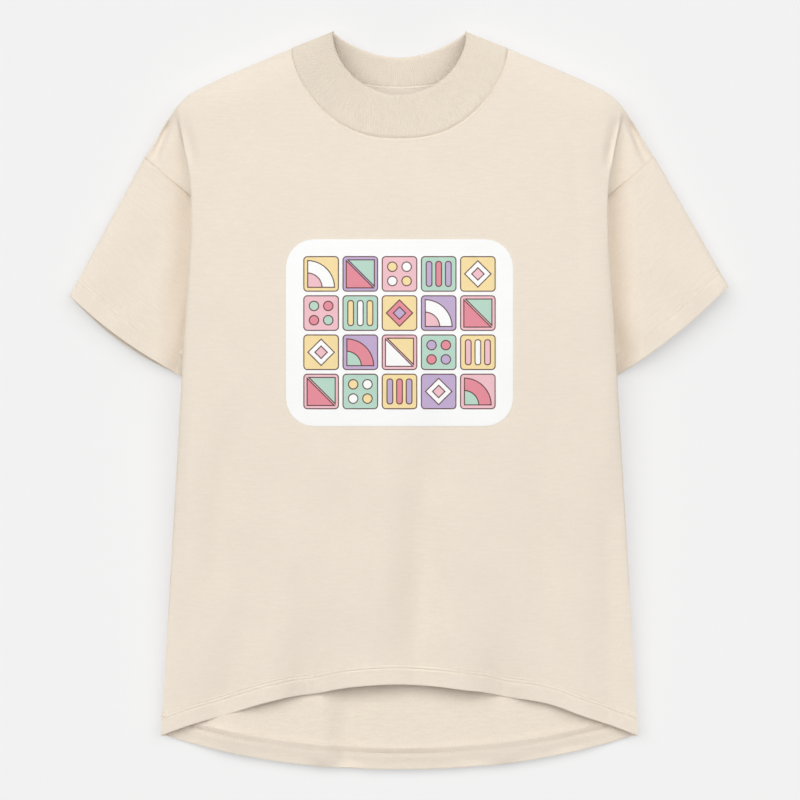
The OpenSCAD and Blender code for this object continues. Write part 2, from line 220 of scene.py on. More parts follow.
@dataclass(frozen=True)
class HemFold:
    """Soft fold that grows from the chest down to the hem."""

    hem_x: float
    top_x: float
    fall: float
    half_w: float
    height: float

    def lift(self, shape: ShirtShape, x: Array, y: Array) -> Array:
        """Height that the fold adds at a place.

        Args:
            shape: The shirt that carries the fold.
            x: Places across.
            y: Places along.

        Returns:
            The added height.
        """
        top = shape.neck_y - self.fall
        down = np.clip((top - y) / (top - shape.hem_y), 0.0, 1.0)
        off = x - mix(self.top_x, self.hem_x, down)
        return self.height * ease(down) * bell(off, self.half_w)


@dataclass(frozen=True)
class Crease:
    """Soft ridge or hollow along a short line, fading out at both its ends."""

    start: tuple[float, float]
    end: tuple[float, float]
    half_w: float
    height: float
    fade: float = 0.35

    def lift(self, x: Array, y: Array) -> Array:
        """Height that the crease adds at a place.

        Args:
            x: Places across.
            y: Places along.

        Returns:
            The added height.
        """
        line = np.subtract(self.end, self.start)
        length = np.hypot(*line)
        along = ((x - self.start[0]) * line[0] + (y - self.start[1]) * line[1]) / length**2
        off = ((x - self.start[0]) * line[1] - (y - self.start[1]) * line[0]) / length
        shown = ease(along / self.fade) * ease((1 - along) / self.fade)
        return self.height * shown * bell(off, self.half_w)


@dataclass(frozen=True)
class Waver:
    """Slight unevenness of laid cloth: a few long waves in seeded directions."""

    height: float
    wave_l: float
    seed: int
    waves: int = 14
    spread: tuple[float, float] = (0.6, 1.6)

    def lift(self, x: Array, y: Array) -> Array:
        """Height that the unevenness adds at a place.

        Args:
            x: Places across.
            y: Places along.

        Returns:
            The added height.
        """
        draw = np.random.default_rng(self.seed)
        total = np.zeros(np.broadcast(x, y).shape)
        for _ in range(self.waves):
            turn = draw.uniform(0, math.tau)
            pitch = math.tau / (self.wave_l * draw.uniform(*self.spread))
            shift = draw.uniform(0, math.tau)
            total = total + np.cos(pitch * (x * math.cos(turn) + y * math.sin(turn)) + shift)
        return self.height * total / math.sqrt(self.waves)


@dataclass(frozen=True)
class ShirtShape:
    """Sizes of the shirt as it lies, and the curves that its pieces share."""

    body_len: float = 0.688
    hem_w: float = 0.478
    chest_w: float = 0.430
    front_arch: float = 0.051
    back_dip: float = 0.034
    chest_h: float = 0.048
    hem_h: float = 0.022
    hem_edge_h: float = 0.014
    arm_edge_h: float = 0.032
    shoulder_w: float = 0.446
    shoulder_fall: float = 0.058
    drop_w: float = 0.065
    drop_fall: float = 0.108
    fold_w: float = 0.029
    fold_fall: float = 0.151
    underarm_fall: float = 0.283
    shoulder_h: float = 0.024
    drop_h: float = 0.012
    neck_w: float = 0.217
    front_neck_fall: float = 0.091
    back_neck_fall: float = 0.036
    neck_edge_h: float = 0.020
    neck_h: float = 0.034
    collar_rise: float = 0.016
    knee_in: float = 0.020
    knee_slope: float = 0.44
    side_round: float = 0.034
    shoulder_round: float = 0.034
    under_round: float = 0.036
    seam_in: float = 0.003
    seam_down: float = 0.009
    chest_arch: float = 0.007
    gusset_l: float = 0.042
    drop_level: float = 0.35
    drop_turn: float = 0.001
    front_neck_power: float = 2.4
    front_neck_round: float = 1.5
    back_neck_power: float = 2.2
    back_hem_power: float = 2.2
    jersey_t: float = 0.0009
    rib_t: float = 0.0012
    valley_h: float = 0.0125
    valley_w: float = 0.031
    valley_start: float = 0.008
    valley_growth: float = 0.080
    valley_top_share: float = 0.3
    valley_floor: float = 0.005
    valley_room: float = 0.016
    slope_step: float = 0.001
    folds: tuple[HemFold, ...] = (
        HemFold(-0.177, -0.104, 0.330, 0.020, -0.0045),
        HemFold(-0.140, -0.085, 0.380, 0.018, 0.0020),
        HemFold(-0.095, -0.080, 0.430, 0.018, -0.0030),
        HemFold(-0.024, -0.014, 0.360, 0.022, 0.0035),
        HemFold(0.016, 0.030, 0.360, 0.019, -0.0045),
        HemFold(0.058, 0.048, 0.380, 0.022, 0.0035),
        HemFold(0.107, 0.098, 0.450, 0.018, -0.0030),
        HemFold(0.153, 0.133, 0.370, 0.018, -0.0030),
        HemFold(0.180, 0.165, 0.420, 0.014, 0.0025),
        HemFold(0.213, 0.200, 0.390, 0.014, -0.0030),
    )
    touches: tuple[HemFold, ...] = (
        HemFold(-0.092, -0.088, 0.560, 0.024, -0.0090),
        HemFold(0.107, 0.104, 0.560, 0.022, -0.0090),
        HemFold(-0.185, -0.180, 0.580, 0.020, -0.0050),
        HemFold(0.004, 0.004, 0.560, 0.045, 0.0040),
        HemFold(0.000, 0.000, 0.500, 0.150, -0.0045),
    )
    creases: tuple[Crease, ...] = (
        Crease((-0.219, 0.288), (-0.204, 0.228), 0.0055, -0.0050),
        Crease((0.221, 0.290), (0.207, 0.225), 0.0060, -0.0085),
        Crease((-0.170, 0.285), (-0.186, 0.090), 0.008, -0.0012),
        Crease((0.170, 0.285), (0.186, 0.090), 0.008, -0.0012),
        Crease((-0.160, 0.318), (-0.050, 0.245), 0.014, 0.0008),
        Crease((0.160, 0.318), (0.050, 0.245), 0.014, 0.0008),
        Crease((-0.205, 0.040), (-0.215, -0.130), 0.009, 0.0014),
        Crease((0.205, 0.040), (0.212, -0.130), 0.009, 0.0014),
        Crease((-0.012, 0.000), (-0.020, -0.265), 0.018, 0.0030),
        Crease((0.032, 0.010), (0.020, -0.270), 0.018, -0.0040),
        Crease((-0.200, 0.020), (-0.222, -0.250), 0.016, 0.0026),
        Crease((-0.166, 0.020), (-0.188, -0.250), 0.017, -0.0034),
        Crease((0.136, 0.000), (0.154, -0.230), 0.015, -0.0025),
        Crease((0.205, -0.040), (0.219, -0.280), 0.013, -0.0030),
    )
    drop_creases: tuple[Crease, ...] = (
        Crease((0.2265, 0.290), (0.2510, 0.232), 0.0046, -0.0068),
    )
    wavers: tuple[Waver, ...] = (
        Waver(0.00045, 0.110, 11),
        Waver(0.00010, 0.034, 23),
    )

    @property
    def top_y(self) -> float:
        """Level of the collar's points."""
        return (self.collar_rise + self.body_len + self.back_dip) / 2

    @property
    def neck_y(self) -> float:
        """Level of the neck points of the shoulders."""
        return self.top_y - self.collar_rise

    @property
    def hem_y(self) -> float:
        """Level of the side hems."""
        return self.neck_y - self.body_len

    @property
    def arm_y(self) -> float:
        """Level of the underarms."""
        return self.neck_y - self.underarm_fall

    @property
    def fold_y(self) -> float:
        """Level at which the armhole seams go under the body's folds."""
        return self.neck_y - self.fold_fall

    @property
    def shoulder_y(self) -> float:
        """Level at which the shoulders fold over."""
        return self.neck_y - self.shoulder_fall

    @property
    def drop_y(self) -> float:
        """Level of the tops of the armhole seams."""
        return self.neck_y - self.drop_fall

    @property
    def shoulder_x(self) -> float:
        """Half width between the shoulder folds."""
        return self.shoulder_w / 2

    @property
    def drop_x(self) -> float:
        """Half width between the tops of the armhole seams."""
        return (self.shoulder_w + self.drop_w) / 2

    @property
    def fold_x(self) -> float:
        """Half width between the folds over the sleeves."""
        return (self.shoulder_w - self.fold_w) / 2

    @property
    def body_l(self) -> float:
        """Length of the side seam."""
        return self.arm_y - self.hem_y

    def edge_x(self, y: Array) -> Array:
        """Half width of the body at a level.

        Args:
            y: Places along.

        Returns:
            The half width at each place.
        """
        return curve(y, [
            (self.hem_y, self.hem_w / 2),
            (self.arm_y, self.chest_w / 2),
            (self.fold_y, self.fold_x),
            (self.shoulder_y, self.shoulder_x),
        ])

    def edge_h(self, y: Array) -> Array:
        """Height of the body's edge at a level.

        Args:
            y: Places along.

        Returns:
            The height at each place.
        """
        return curve(y, [
            (self.hem_y, self.hem_edge_h),
            (self.arm_y, self.arm_edge_h),
            (self.fold_y, self.arm_edge_h),
            (self.shoulder_y, self.shoulder_h),
            (self.neck_y, self.neck_edge_h),
        ])

    def side_seam(self, y: Array) -> Array:
        """Points of the side seam, a little behind and under the edge."""
        return points(self.edge_x(y) - self.seam_in, y, self.edge_h(y) - self.seam_down)

    def shoulder_at(self, x: Array) -> Array:
        """Level of the shoulder line at a place across.

        Args:
            x: Places across.

        Returns:
            The level at each place.
        """
        knee_x = self.shoulder_x - self.knee_in
        knee_y = self.neck_y - self.knee_slope * (knee_x - self.neck_w / 2)
        return curve(x, [
            (self.neck_w / 2, self.neck_y),
            (knee_x, knee_y),
            (self.shoulder_x, self.shoulder_y),
            (self.drop_x, self.drop_y),
        ])

    def below_shoulder(self, x: Array, y: Array) -> Array:
        """How far a place lies below the shoulder line.

        Args:
            x: Places across.
            y: Places along.

        Returns:
            The distance square to the line.
        """
        slope = (self.shoulder_at(x + self.slope_step) - self.shoulder_at(x)) / self.slope_step
        return (self.shoulder_at(x) - y) / np.sqrt(1 + slope * slope)

    def rim_h(self, y: Array) -> Array:
        """Height of the back's rim: the side seam, the armhole seam and the shoulder seam.

        Args:
            y: Places along.

        Returns:
            The height at each level.
        """
        y = np.asarray(y, float)
        side = self.edge_h(y) - self.seam_down
        fall = (self.arm_edge_h - self.seam_down) * (1 - dome((y - self.arm_y) / self.gusset_l))
        rise = self.drop_h * (1 - dome((self.drop_y - y) / self.gusset_l))
        up = (y - self.drop_y) / (self.shoulder_y - self.drop_y)
        shoulder = mix(self.drop_h, self.shoulder_h, up)
        return np.select(
            [y <= self.arm_y, y <= self.drop_y, y <= self.shoulder_y],
            [side, fall + rise, shoulder],
            self.edge_h(y),
        )

    def rim_x(self, y: Array) -> Array:
        """Half width of the back's rim at a level.

        Args:
            y: Places along.

        Returns:
            The half width at each level.
        """
        low = float(self.side_seam(self.arm_y)[0])
        up = (np.asarray(y, float) - self.arm_y) / (self.drop_y - self.arm_y)
        return np.where(y <= self.arm_y, self.edge_x(y) - self.seam_in, mix(low, self.drop_x, up))

    def crown_h(self, x: Array, y: Array) -> Array:
        """Height of the front away from its edges, with its folds.

        Args:
            x: Places across.
            y: Places along.

        Returns:
            The height at each place.
        """
        level = curve(y, [(self.hem_y, self.hem_h), (self.arm_y, self.chest_h), (self.neck_y, self.neck_h)])
        arch = self.chest_arch * (x / (self.chest_w / 2)) ** 2
        soft = sum(fold.lift(self, x, y) for fold in self.folds + self.touches)
        fine = sum(item.lift(x, y) for item in self.creases + self.wavers)
        return level - arch + soft + fine

    def front_h(self, x: Array, y: Array) -> Array:
        """Height of the front at a place.

        Args:
            x: Places across.
            y: Places along.

        Returns:
            The height at each place.
        """
        side = dome((self.edge_x(y) - np.abs(x)) / self.side_round)
        top = dome(self.below_shoulder(np.abs(x), y) / self.shoulder_round)
        return mix(self.edge_h(y), self.crown_h(x, y), side * top)

    def valley(self, x: Array, y: Array, z: Array) -> Array:
        """Dip of the dropped shoulder and the sleeve along the body's fold.

        Args:
            x: Places across.
            y: Places along.
            z: Heights before the dip, which leave it more or less room.

        Returns:
            The height to add, below zero.
        """
        grow = ease((self.shoulder_y + self.valley_start - y) / self.valley_growth)
        reach = self.valley_w * mix(self.valley_top_share, 1, grow)
        away = ease(1 - self.beyond_edge(x, y) / reach)
        crease = sum(item.lift(np.abs(x), y) for item in self.drop_creases)
        room = np.clip((z - self.valley_floor) / self.valley_room, 0, 1)
        return (crease - self.valley_h * away * grow) * room

    def beyond_edge(self, x: Array, y: Array) -> Array:
        """How far a place lies outside the body's edge."""
        return np.abs(x) - self.edge_x(y)

    def clear_of_edge(self, x: Array, y: Array) -> Array:
        """Share from 0 at the seam under the body's edge to 1 from the edge outward."""
        return ease(1 + self.beyond_edge(x, y) / self.seam_in)

    def back_h(self, x: Array, y: Array) -> Array:
        """Height of the back's outer face over the surface that it rests on.

        Args:
            x: Places across.
            y: Places along.

        Returns:
            The height at each place.
        """
        side = dome((self.rim_x(y) - np.abs(x)) / self.under_round)
        top = dome(self.below_shoulder(np.abs(x), y) / self.under_round)
        return np.maximum(self.rim_h(y) * (1 - side * top), 0.0)

    def front_neck(self, angle: Array) -> Array:
        """Points of the front neckline by angle: 0 at the shoulder at +X, half pi at the front.

        Args:
            angle: Angles round the neck.

        Returns:
            The points.
        """
        x = self.neck_w / 2 * np.cos(angle)
        share = (1 - np.abs(np.cos(angle)) ** self.front_neck_power) ** (1 / self.front_neck_round)
        y = self.neck_y - self.front_neck_fall * share
        return points(x, y, self.front_h(x, y))

    def back_neck(self, angle: Array) -> Array:
        """Points of the back neckline, by the same angle on its way round the back.

        Args:
            angle: Angles round the neck.

        Returns:
            The points.
        """
        x = self.neck_w / 2 * np.cos(angle)
        share = 1 - np.abs(np.cos(angle)) ** self.back_neck_power
        y = self.neck_y - self.back_neck_fall * share
        return points(x, y, self.back_h(x, y))

    def row_y(self, w: Array) -> Array:
        """Level of a row: 0 at the hem, 1 at the underarm, 2 at the fold, 3 at the shoulder."""
        return np.interp(w, [0, 1, 2, 3], [self.hem_y, self.arm_y, self.fold_y, self.shoulder_y])

    def row_v(self, w: Array) -> Array:
        """Share of the body's length at a row."""
        return (self.row_y(w) - self.hem_y) / (self.shoulder_y - self.hem_y)

    def edge_point(self, w: Array) -> Array:
        """Points of the body's edge at a row."""
        y = self.row_y(w)
        return points(self.edge_x(y), y, self.edge_h(y))

    def front_seam(self, w: Array) -> Array:
        """Points of the seam that ends the front at a row.

        Args:
            w: Places of the rows.

        Returns:
            The points.
        """
        w = np.asarray(w, float)
        low = self.side_seam(self.fold_y)
        top = np.array([self.drop_x, self.drop_y, self.drop_h])
        arm = mix(low, top, np.clip(w - 2, 0, 1)[..., None])
        arm[..., 2] = mix(self.drop_h, low[2], dome(3 - w))
        return np.where((w <= 2)[..., None], self.side_seam(self.row_y(w)), arm)

    def back_seam(self, w: Array) -> Array:
        """Points of the seam that ends the back at a row.

        Args:
            w: Places of the rows.

        Returns:
            The points.
        """
        w = np.asarray(w, float)
        y = np.where(w <= 1, self.row_y(w), mix(self.arm_y, self.drop_y, (w - 1) / 2))
        return points(self.rim_x(y), y, self.rim_h(y))

    def front_hem(self, x: Array) -> Array:
        """Points of the front hem, seen from above."""
        return points(x, self.hem_y + self.front_arch * (1 - (x / (self.hem_w / 2)) ** 2), 0)

    def back_hem(self, x: Array) -> Array:
        """Points of the back hem, seen from above.

        Args:
            x: Places across.

        Returns:
            The points, at no height.
        """
        half = float(self.side_seam(self.hem_y)[0])
        dip = self.back_dip * (1 - (np.abs(x) / half) ** self.back_hem_power)
        return points(x, self.hem_y - dip, 0)

    def shoulder_seam(self, x: Array) -> Array:
        """Points of the shoulder seam at a place across."""
        y = self.shoulder_at(x)
        return points(x, y, self.rim_h(y))


@dataclass(frozen=True)
class Hem:
    """Turned hem with two rows of stitches, and what they do to the face of the cloth."""

    depth: float = 0.0205
    rows: tuple[float, float] = (0.0156, 0.0190)
    band_h: float = 0.00035
    groove_h: float = 0.00042
    groove_w: float = 0.0008
    pucker_h: float = 0.00035
    pucker_l: float = 0.0095
    pucker_w: float = 0.0075
    wobbles: tuple[tuple[float, float], ...] = ((1.3, 0.071), (0.8, 0.043))
    turn_in: float = 0.001
    band_fade: float = 0.002
    double_fade: float = 0.005
    ledge_h: float = 0.0014
    ledge_over: float = 0.0007
    ledge_w: float = 0.0028
    drawn_under: float = 0.0006
    drawn_w: float = 0.0017
    drawn_share: float = 0.5
    pucker_share: float = 0.4
    edge_levels: tuple[float, ...] = (0, 0.0006, 0.0016, 0.0034, 0.0060, 0.0090, 0.0120)
    seam_levels: tuple[float, float] = (0.0138, 0.0218)
    seam_step: float = 0.0005
    upper_levels: tuple[float, float] = (0.0225, 0.0300)
    upper_rows: int = 8

    def levels(self) -> Array:
        """Heights of the grid rows over the hem edge, close together at the stitches.

        Returns:
            The heights, from the edge up.
        """
        fine = np.arange(*self.seam_levels, self.seam_step)
        rest = np.linspace(*self.upper_levels, self.upper_rows)
        return np.concatenate([self.edge_levels, fine, rest])

    def relief(self, level: Array, along: Array) -> Array:
        """Height that the hem adds to the face of the cloth.

        Args:
            level: Distance from the hem edge.
            along: Distance along the hem.

        Returns:
            The added height.
        """
        band = self.band_h * (1 - ease((level - self.depth + self.turn_in) / self.band_fade))
        grooves = sum(bell(level - row, self.groove_w) for row in self.rows)
        wobble = sum(size * np.sin(math.tau * along / length) for size, length in self.wobbles)
        ripple = np.sin(math.tau * along / self.pucker_l + wobble)
        near = bell(level - np.mean(self.rows), self.pucker_w)
        return band - self.groove_h * grooves + self.pucker_h * ripple * near

    def thickness(self, level: Array, along: Array, cloth_t: float) -> Array:
        """Thickness of the cloth, doubled up to the turned edge and drawn in by the stitches.

        Args:
            level: Distance from the hem edge.
            along: Distance along the hem.
            cloth_t: Thickness of one layer.

        Returns:
            The thickness at each place.
        """
        double = cloth_t * (2 - ease((level - self.depth + self.turn_in) / self.double_fade))
        bulge = self.ledge_h * bell(level - self.depth - self.ledge_over, self.ledge_w)
        groove = self.ledge_h * bell(level - self.rows[0] + self.drawn_under, self.drawn_w)
        pucker = np.maximum(self.relief(level, along + self.pucker_l / 2) - self.band_h, -self.pucker_h)
        return double + bulge - self.drawn_share * groove + self.pucker_share * pucker


class Side(Enum):
    """Side of the shirt, as its wearer has it; the wearer's left lies at +X."""

    LEFT = 1
    RIGHT = -1


class Face(Enum):
    """Face of the cloth, as a material index."""

    OUTER = 0
    INNER = 1


@dataclass
class MeshData:
    """Points, faces, flat coordinates and material indices on their way to a mesh."""

    verts: list[Array] = field(default_factory=list)
    faces: list[list[int]] = field(default_factory=list)
    flats: list[Array] = field(default_factory=list)
    slots: list[int] = field(default_factory=list)
    count: int = 0

    def add(self, verts: Array, faces: Sequence[Sequence[int]], flats: Array, slot: int = 0) -> None:
        """Add a batch of points and the faces among them.

        Args:
            verts: Points of the batch.
            faces: Faces, by the index of their points in the batch.
            flats: Flat coordinates of the points, in metres.
            slot: Material index of the faces.
        """
        self.verts.append(verts)
        self.flats.append(flats)
        self.faces.extend([[index + self.count for index in face] for face in faces])
        self.slots.extend([slot] * len(faces))
        self.count += len(verts)

    def build(self, name: str, sharp_deg: float = 50.0) -> bpy.types.Object:
        """Make the object.

        Args:
            name: Name of the piece.
            sharp_deg: Angle between faces from which an edge is sharp.

        Returns:
            The new object, linked to the scene.
        """
        mesh = bpy.data.meshes.new(name)
        mesh.from_pydata(np.concatenate(self.verts).tolist(), [], self.faces)
        mesh.polygons.foreach_set("material_index", np.array(self.slots, np.int32))
        corner = np.empty(len(mesh.loops), np.int32)
        mesh.loops.foreach_get("vertex_index", corner)
        layer = mesh.uv_layers.new(name="cloth")
        layer.data.foreach_set("uv", np.concatenate(self.flats)[corner].astype(np.float32).ravel())
        mesh.shade_smooth()
        mesh.set_sharp_from_angle(angle=math.radians(sharp_deg))
        mesh.update()
        piece = bpy.data.objects.new(name, mesh)
        bpy.context.scene.collection.objects.link(piece)
        return piece


@dataclass
class ClothSheet:
    """Cloth of some thickness under a grid of points of its outer face."""

    outer: Array
    thickness: Array
    closed: bool = False
    level_flat: bool = False
    rim_steps: int = 2
    turned_row: int | None = None

    def __post_init__(self) -> None:
        """Work out the normals, the inner face and the flat coordinates."""
        self.normals = normals_of(self.outer, self.closed)
        self.thick = np.broadcast_to(self.thickness, self.outer.shape[:2])[..., None]
        self.inner = self.outer - self.thick * self.normals
        across = run_along(self.outer * [1, not self.level_flat, 1], 0)
        along = self.outer[..., 1] if self.level_flat else run_along(self.outer, 1)
        self.flat = np.stack([across - across[across.shape[0] // 2], along], -1)

    def rim(self, row: int, outward: Array) -> list[Array]:
        """Rounded rim between the two faces along a first or last row.

        Args:
            row: Index of the row.
            outward: Direction out of the cloth at each column.

        Returns:
            One line of points for each step, from the outer face to the inner one.
        """
        middle = (self.outer[:, row] + self.inner[:, row]) / 2
        reach = self.thick[:, row] / 2
        lines = []
        for step in range(1, self.rim_steps + 1):
            turn = math.pi * step / (self.rim_steps + 1)
            lines.append(middle + reach * (math.cos(turn) * self.normals[:, row] + math.sin(turn) * outward))
        return lines

    def mesh(self) -> MeshData:
        """Closed mesh of the cloth, with its inner face in a material of its own.

        Returns:
            The data of the mesh.
        """
        n, m = self.outer.shape[:2]
        top = self.rim(m - 1, unit(self.outer[:, m - 1] - self.outer[:, m - 2]))
        hem = self.rim(0, unit(self.outer[:, 0] - self.outer[:, 1]))[::-1]
        ring = np.concatenate([self.outer, np.stack(top, 1), self.inner[:, ::-1], np.stack(hem, 1)], 1)
        last, first = self.flat[:, -1:], self.flat[:, :1]
        steps = self.rim_steps
        flat = np.concatenate([self.flat, *[last] * steps, self.flat[:, ::-1], *[first] * steps], 1)
        return self.skin(ring, flat, n, m)

    def skin(self, ring: Array, flat: Array, n: int, m: int) -> MeshData:
        """Faces round the rings of points, with caps at the two ends of an open grid.

        Args:
            ring: Points of the closed section of each column.
            flat: Flat coordinates of those points.
            n: Number of columns.
            m: Number of rows of one face.

        Returns:
            The data of the closed mesh.
        """
        size = ring.shape[1]
        i = np.arange(n if self.closed else n - 1)[:, None]
        k = np.arange(size)[None]
        after_i, after_k = (i + 1) % n, (k + 1) % size
        quads = np.stack([i * size + k, after_i * size + k, after_i * size + after_k, i * size + after_k], -1)
        inner_from, inner_to = m + self.rim_steps, 2 * m + self.rim_steps - 1
        is_inner = (k >= inner_from) & (k < inner_to)
        if self.turned_row is not None:
            is_inner = is_inner | ((k >= self.turned_row) & (k < m))
        is_inner = np.broadcast_to(is_inner, quads.shape[:2])
        data = MeshData()
        data.add(ring.reshape(-1, 3), quads.reshape(-1, 4).tolist(), flat.reshape(-1, 2))
        data.slots = np.where(is_inner.ravel(), Face.INNER.value, Face.OUTER.value).tolist()
        if not self.closed:
            for column, flip in ((0, False), (n - 1, True)):
                self.cap(data, column * size, m, flip)
        return data

    def cap(self, data: MeshData, start: int, m: int, flip: bool) -> None:
        """Close one end of an open grid.

        Args:
            data: Mesh data that the faces are added to.
            start: Index of the first point of the end's section.
            m: Number of rows of one face.
            flip: Whether the faces look the other way.
        """
        steps = self.rim_steps
        other = 2 * m + steps - 1
        faces = [[j, j + 1, other - j - 1, other - j] for j in range(m - 1)]
        faces.append([m - 1, *range(m, m + steps), m + steps])
        faces.append([other, *range(other + 1, other + 1 + steps), 0])
        for face in faces:
            face = [start + index for index in face]
            data.faces.append(face[::-1] if flip else face)
            data.slots.append(Face.OUTER.value)

    def flat_size(self) -> tuple[float, float, float]:
        """Width, length and area of the cloth when it is laid flat.

        Returns:
            The longest run across, the longest run along and the area of the outer face.
        """
        across = run_along(self.outer, 0)[-1]
        if self.closed:
            across = across + np.linalg.norm(self.outer[0] - self.outer[-1], axis=-1)
        along = run_along(self.outer, 1)[:, -1]
        a = self.outer[1:, :-1] - self.outer[:-1, :-1]
        b = self.outer[:-1, 1:] - self.outer[:-1, :-1]
        area = float(np.linalg.norm(np.cross(a, b), axis=-1).sum())
        return float(across.max()), float(along.max()), area


@dataclass(frozen=True)
class Stitch:
    """Size of one visible stitch of sewing thread."""

    pitch: float = 0.0030
    length: float = 0.0024
    radius: float = 0.00028
    arch: float = 0.00030
    sink_share: float = 0.4
    end_share: float = 0.08
    end_power: int = 4
    sides: int = 6
    rings: int = 6

    def row(self, data: MeshData, path: Array, up: Array) -> None:
        """Add a row of stitches along a line on the cloth.

        Args:
            data: Mesh data that the threads are added to.
            path: Points of the line.
            up: Normal of the cloth at each point.
        """
        run = line_run(path)
        count = int(run[-1] / self.pitch)
        middle = (np.arange(count) + 0.5) * run[-1] / count
        share = np.linspace(0, 1, self.rings)
        at = middle[:, None] + self.length * (share - 0.5)
        lift = read_line(up, run, at)
        hump = self.arch * np.sin(np.pi * share) - self.radius * self.sink_share
        line = read_line(path, run, at) + lift * hump[:, None]
        thick = self.radius * np.sqrt(np.clip(1 - (2 * share - 1) ** self.end_power, self.end_share, 1))
        self.tubes(data, line, lift, thick)

    def tubes(self, data: MeshData, line: Array, up: Array, thick: Array) -> None:
        """Add short round threads.

        Args:
            data: Mesh data that the threads are added to.
            line: Centre points, by thread and ring.
            up: Upward direction at those points.
            thick: Radius at each ring.
        """
        forward = np.gradient(line, axis=1)
        side = unit(np.cross(forward, up))
        above = unit(np.cross(side, forward))
        turn = math.tau * np.arange(self.sides) / self.sides
        ring = np.cos(turn)[:, None] * side[:, :, None] + np.sin(turn)[:, None] * above[:, :, None]
        verts = line[:, :, None] + thick[None, :, None, None] * ring
        rings = line.shape[1]
        faces = []
        for thread in range(len(line)):
            start = thread * rings * self.sides
            for k in range(rings - 1):
                for s in range(self.sides):
                    a = start + k * self.sides + s
                    b = start + k * self.sides + (s + 1) % self.sides
                    faces.append([a, a + self.sides, b + self.sides, b])
            faces.append([start + s for s in range(self.sides)])
            end = start + (rings - 1) * self.sides
            faces.append([end + s for s in reversed(range(self.sides))])
        along = np.linspace(0, self.length, rings)
        flat = np.broadcast_to(
            np.stack(np.meshgrid(turn * self.radius, along), -1)[None],
            (len(line), rings, self.sides, 2),
        )
        data.add(verts.reshape(-1, 3), faces, flat.reshape(-1, 2))


def settle(piece: bpy.types.Object, materials: Sequence[bpy.types.Material], slot: str,
           *nodes: str) -> bpy.types.Object:
    """Give a finished piece its place in the frame and its materials.

    Args:
        piece: The piece.
        materials: Its materials, in the order of their indices.
        slot: Name of a material slot; not used.
        nodes: Nodes of the solids that it takes the place of.

    Returns:
        The same piece.
    """
    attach(piece, BODY)
    if nodes:
        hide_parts(*nodes)
    for material in materials:
        piece.data.materials.append(material)
    return piece


def linear(colour: Colour) -> tuple[float, float, float, float]:
    """Linear colour from one written as red, green and blue from 0 to 255.

    Args:
        colour: The colour as it is written.

    Returns:
        Red, green, blue and an alpha of 1.
    """
    share = np.array(colour) / 255
    low = share / 12.92
    high = ((share + 0.055) / 1.055) ** 2.4
    return (*np.where(share <= 0.04045, low, high).tolist(), 1.0)


class Canvas:
    """Node tree with short calls to add and join its nodes."""

    def __init__(self, tree: bpy.types.NodeTree) -> None:
        """Hold the tree and empty it."""
        self.tree = tree
        tree.nodes.clear()

    def add(self, kind: str, inputs: dict | None = None, **settings: object) -> bpy.types.Node:
        """Add a node.

        Args:
            kind: Blender's name of the node type.
            inputs: Values or sockets for its inputs, by name or index.
            settings: Properties of the node.

        Returns:
            The new node.
        """
        node = self.tree.nodes.new(kind)
        for name, value in settings.items():
            setattr(node, name, value)
        self.join(node, inputs or {})
        return node

    def join(self, node: bpy.types.Node, inputs: dict) -> None:
        """Set the inputs of a node.

        Args:
            node: The node.
            inputs: Values or sockets for its inputs, by name or index.
        """
        for key, value in inputs.items():
            if isinstance(value, bpy.types.NodeSocket):
                self.tree.links.new(value, node.inputs[key])
            else:
                node.inputs[key].default_value = value

    def math(self, operation: str, *values: object) -> bpy.types.NodeSocket:
        """Add a Math node and give its result.

        Args:
            operation: Blender's name of the operation.
            values: Numbers or sockets.

        Returns:
            The socket of the result.
        """
        node = self.add("ShaderNodeMath", dict(enumerate(values)), operation=operation)
        return node.outputs[0]

    def vector(self, operation: str, *values: object) -> bpy.types.NodeSocket:
        """Add a Vector Math node and give its vector."""
        node = self.add("ShaderNodeVectorMath", dict(enumerate(values)), operation=operation)
        return node.outputs[0]


class SocketKind(Enum):
    """Kinds of group sockets."""

    VALUE = "NodeSocketFloat"
    COLOUR = "NodeSocketColor"
    VECTOR = "NodeSocketVector"


def new_group(name: str, inputs: dict[str, SocketKind],
              outputs: dict[str, SocketKind]) -> tuple[Canvas, dict[str, bpy.types.NodeSocket]]:
    """Start a shader node group with named sockets.

    Args:
        name: Name of the group.
        inputs: Kinds of its inputs, by name.
        outputs: Kinds of its outputs, by name.

    Returns:
        The canvas of the group, and its input sockets by name.
    """
    tree = bpy.data.node_groups.new(name, "ShaderNodeTree")
    canvas = Canvas(tree)
    for way, sockets in (("INPUT", inputs), ("OUTPUT", outputs)):
        for label, kind in sockets.items():
            tree.interface.new_socket(name=label, in_out=way, socket_type=kind.value)
    entry = canvas.add("NodeGroupInput")
    return canvas, {label: entry.outputs[label] for label in inputs}


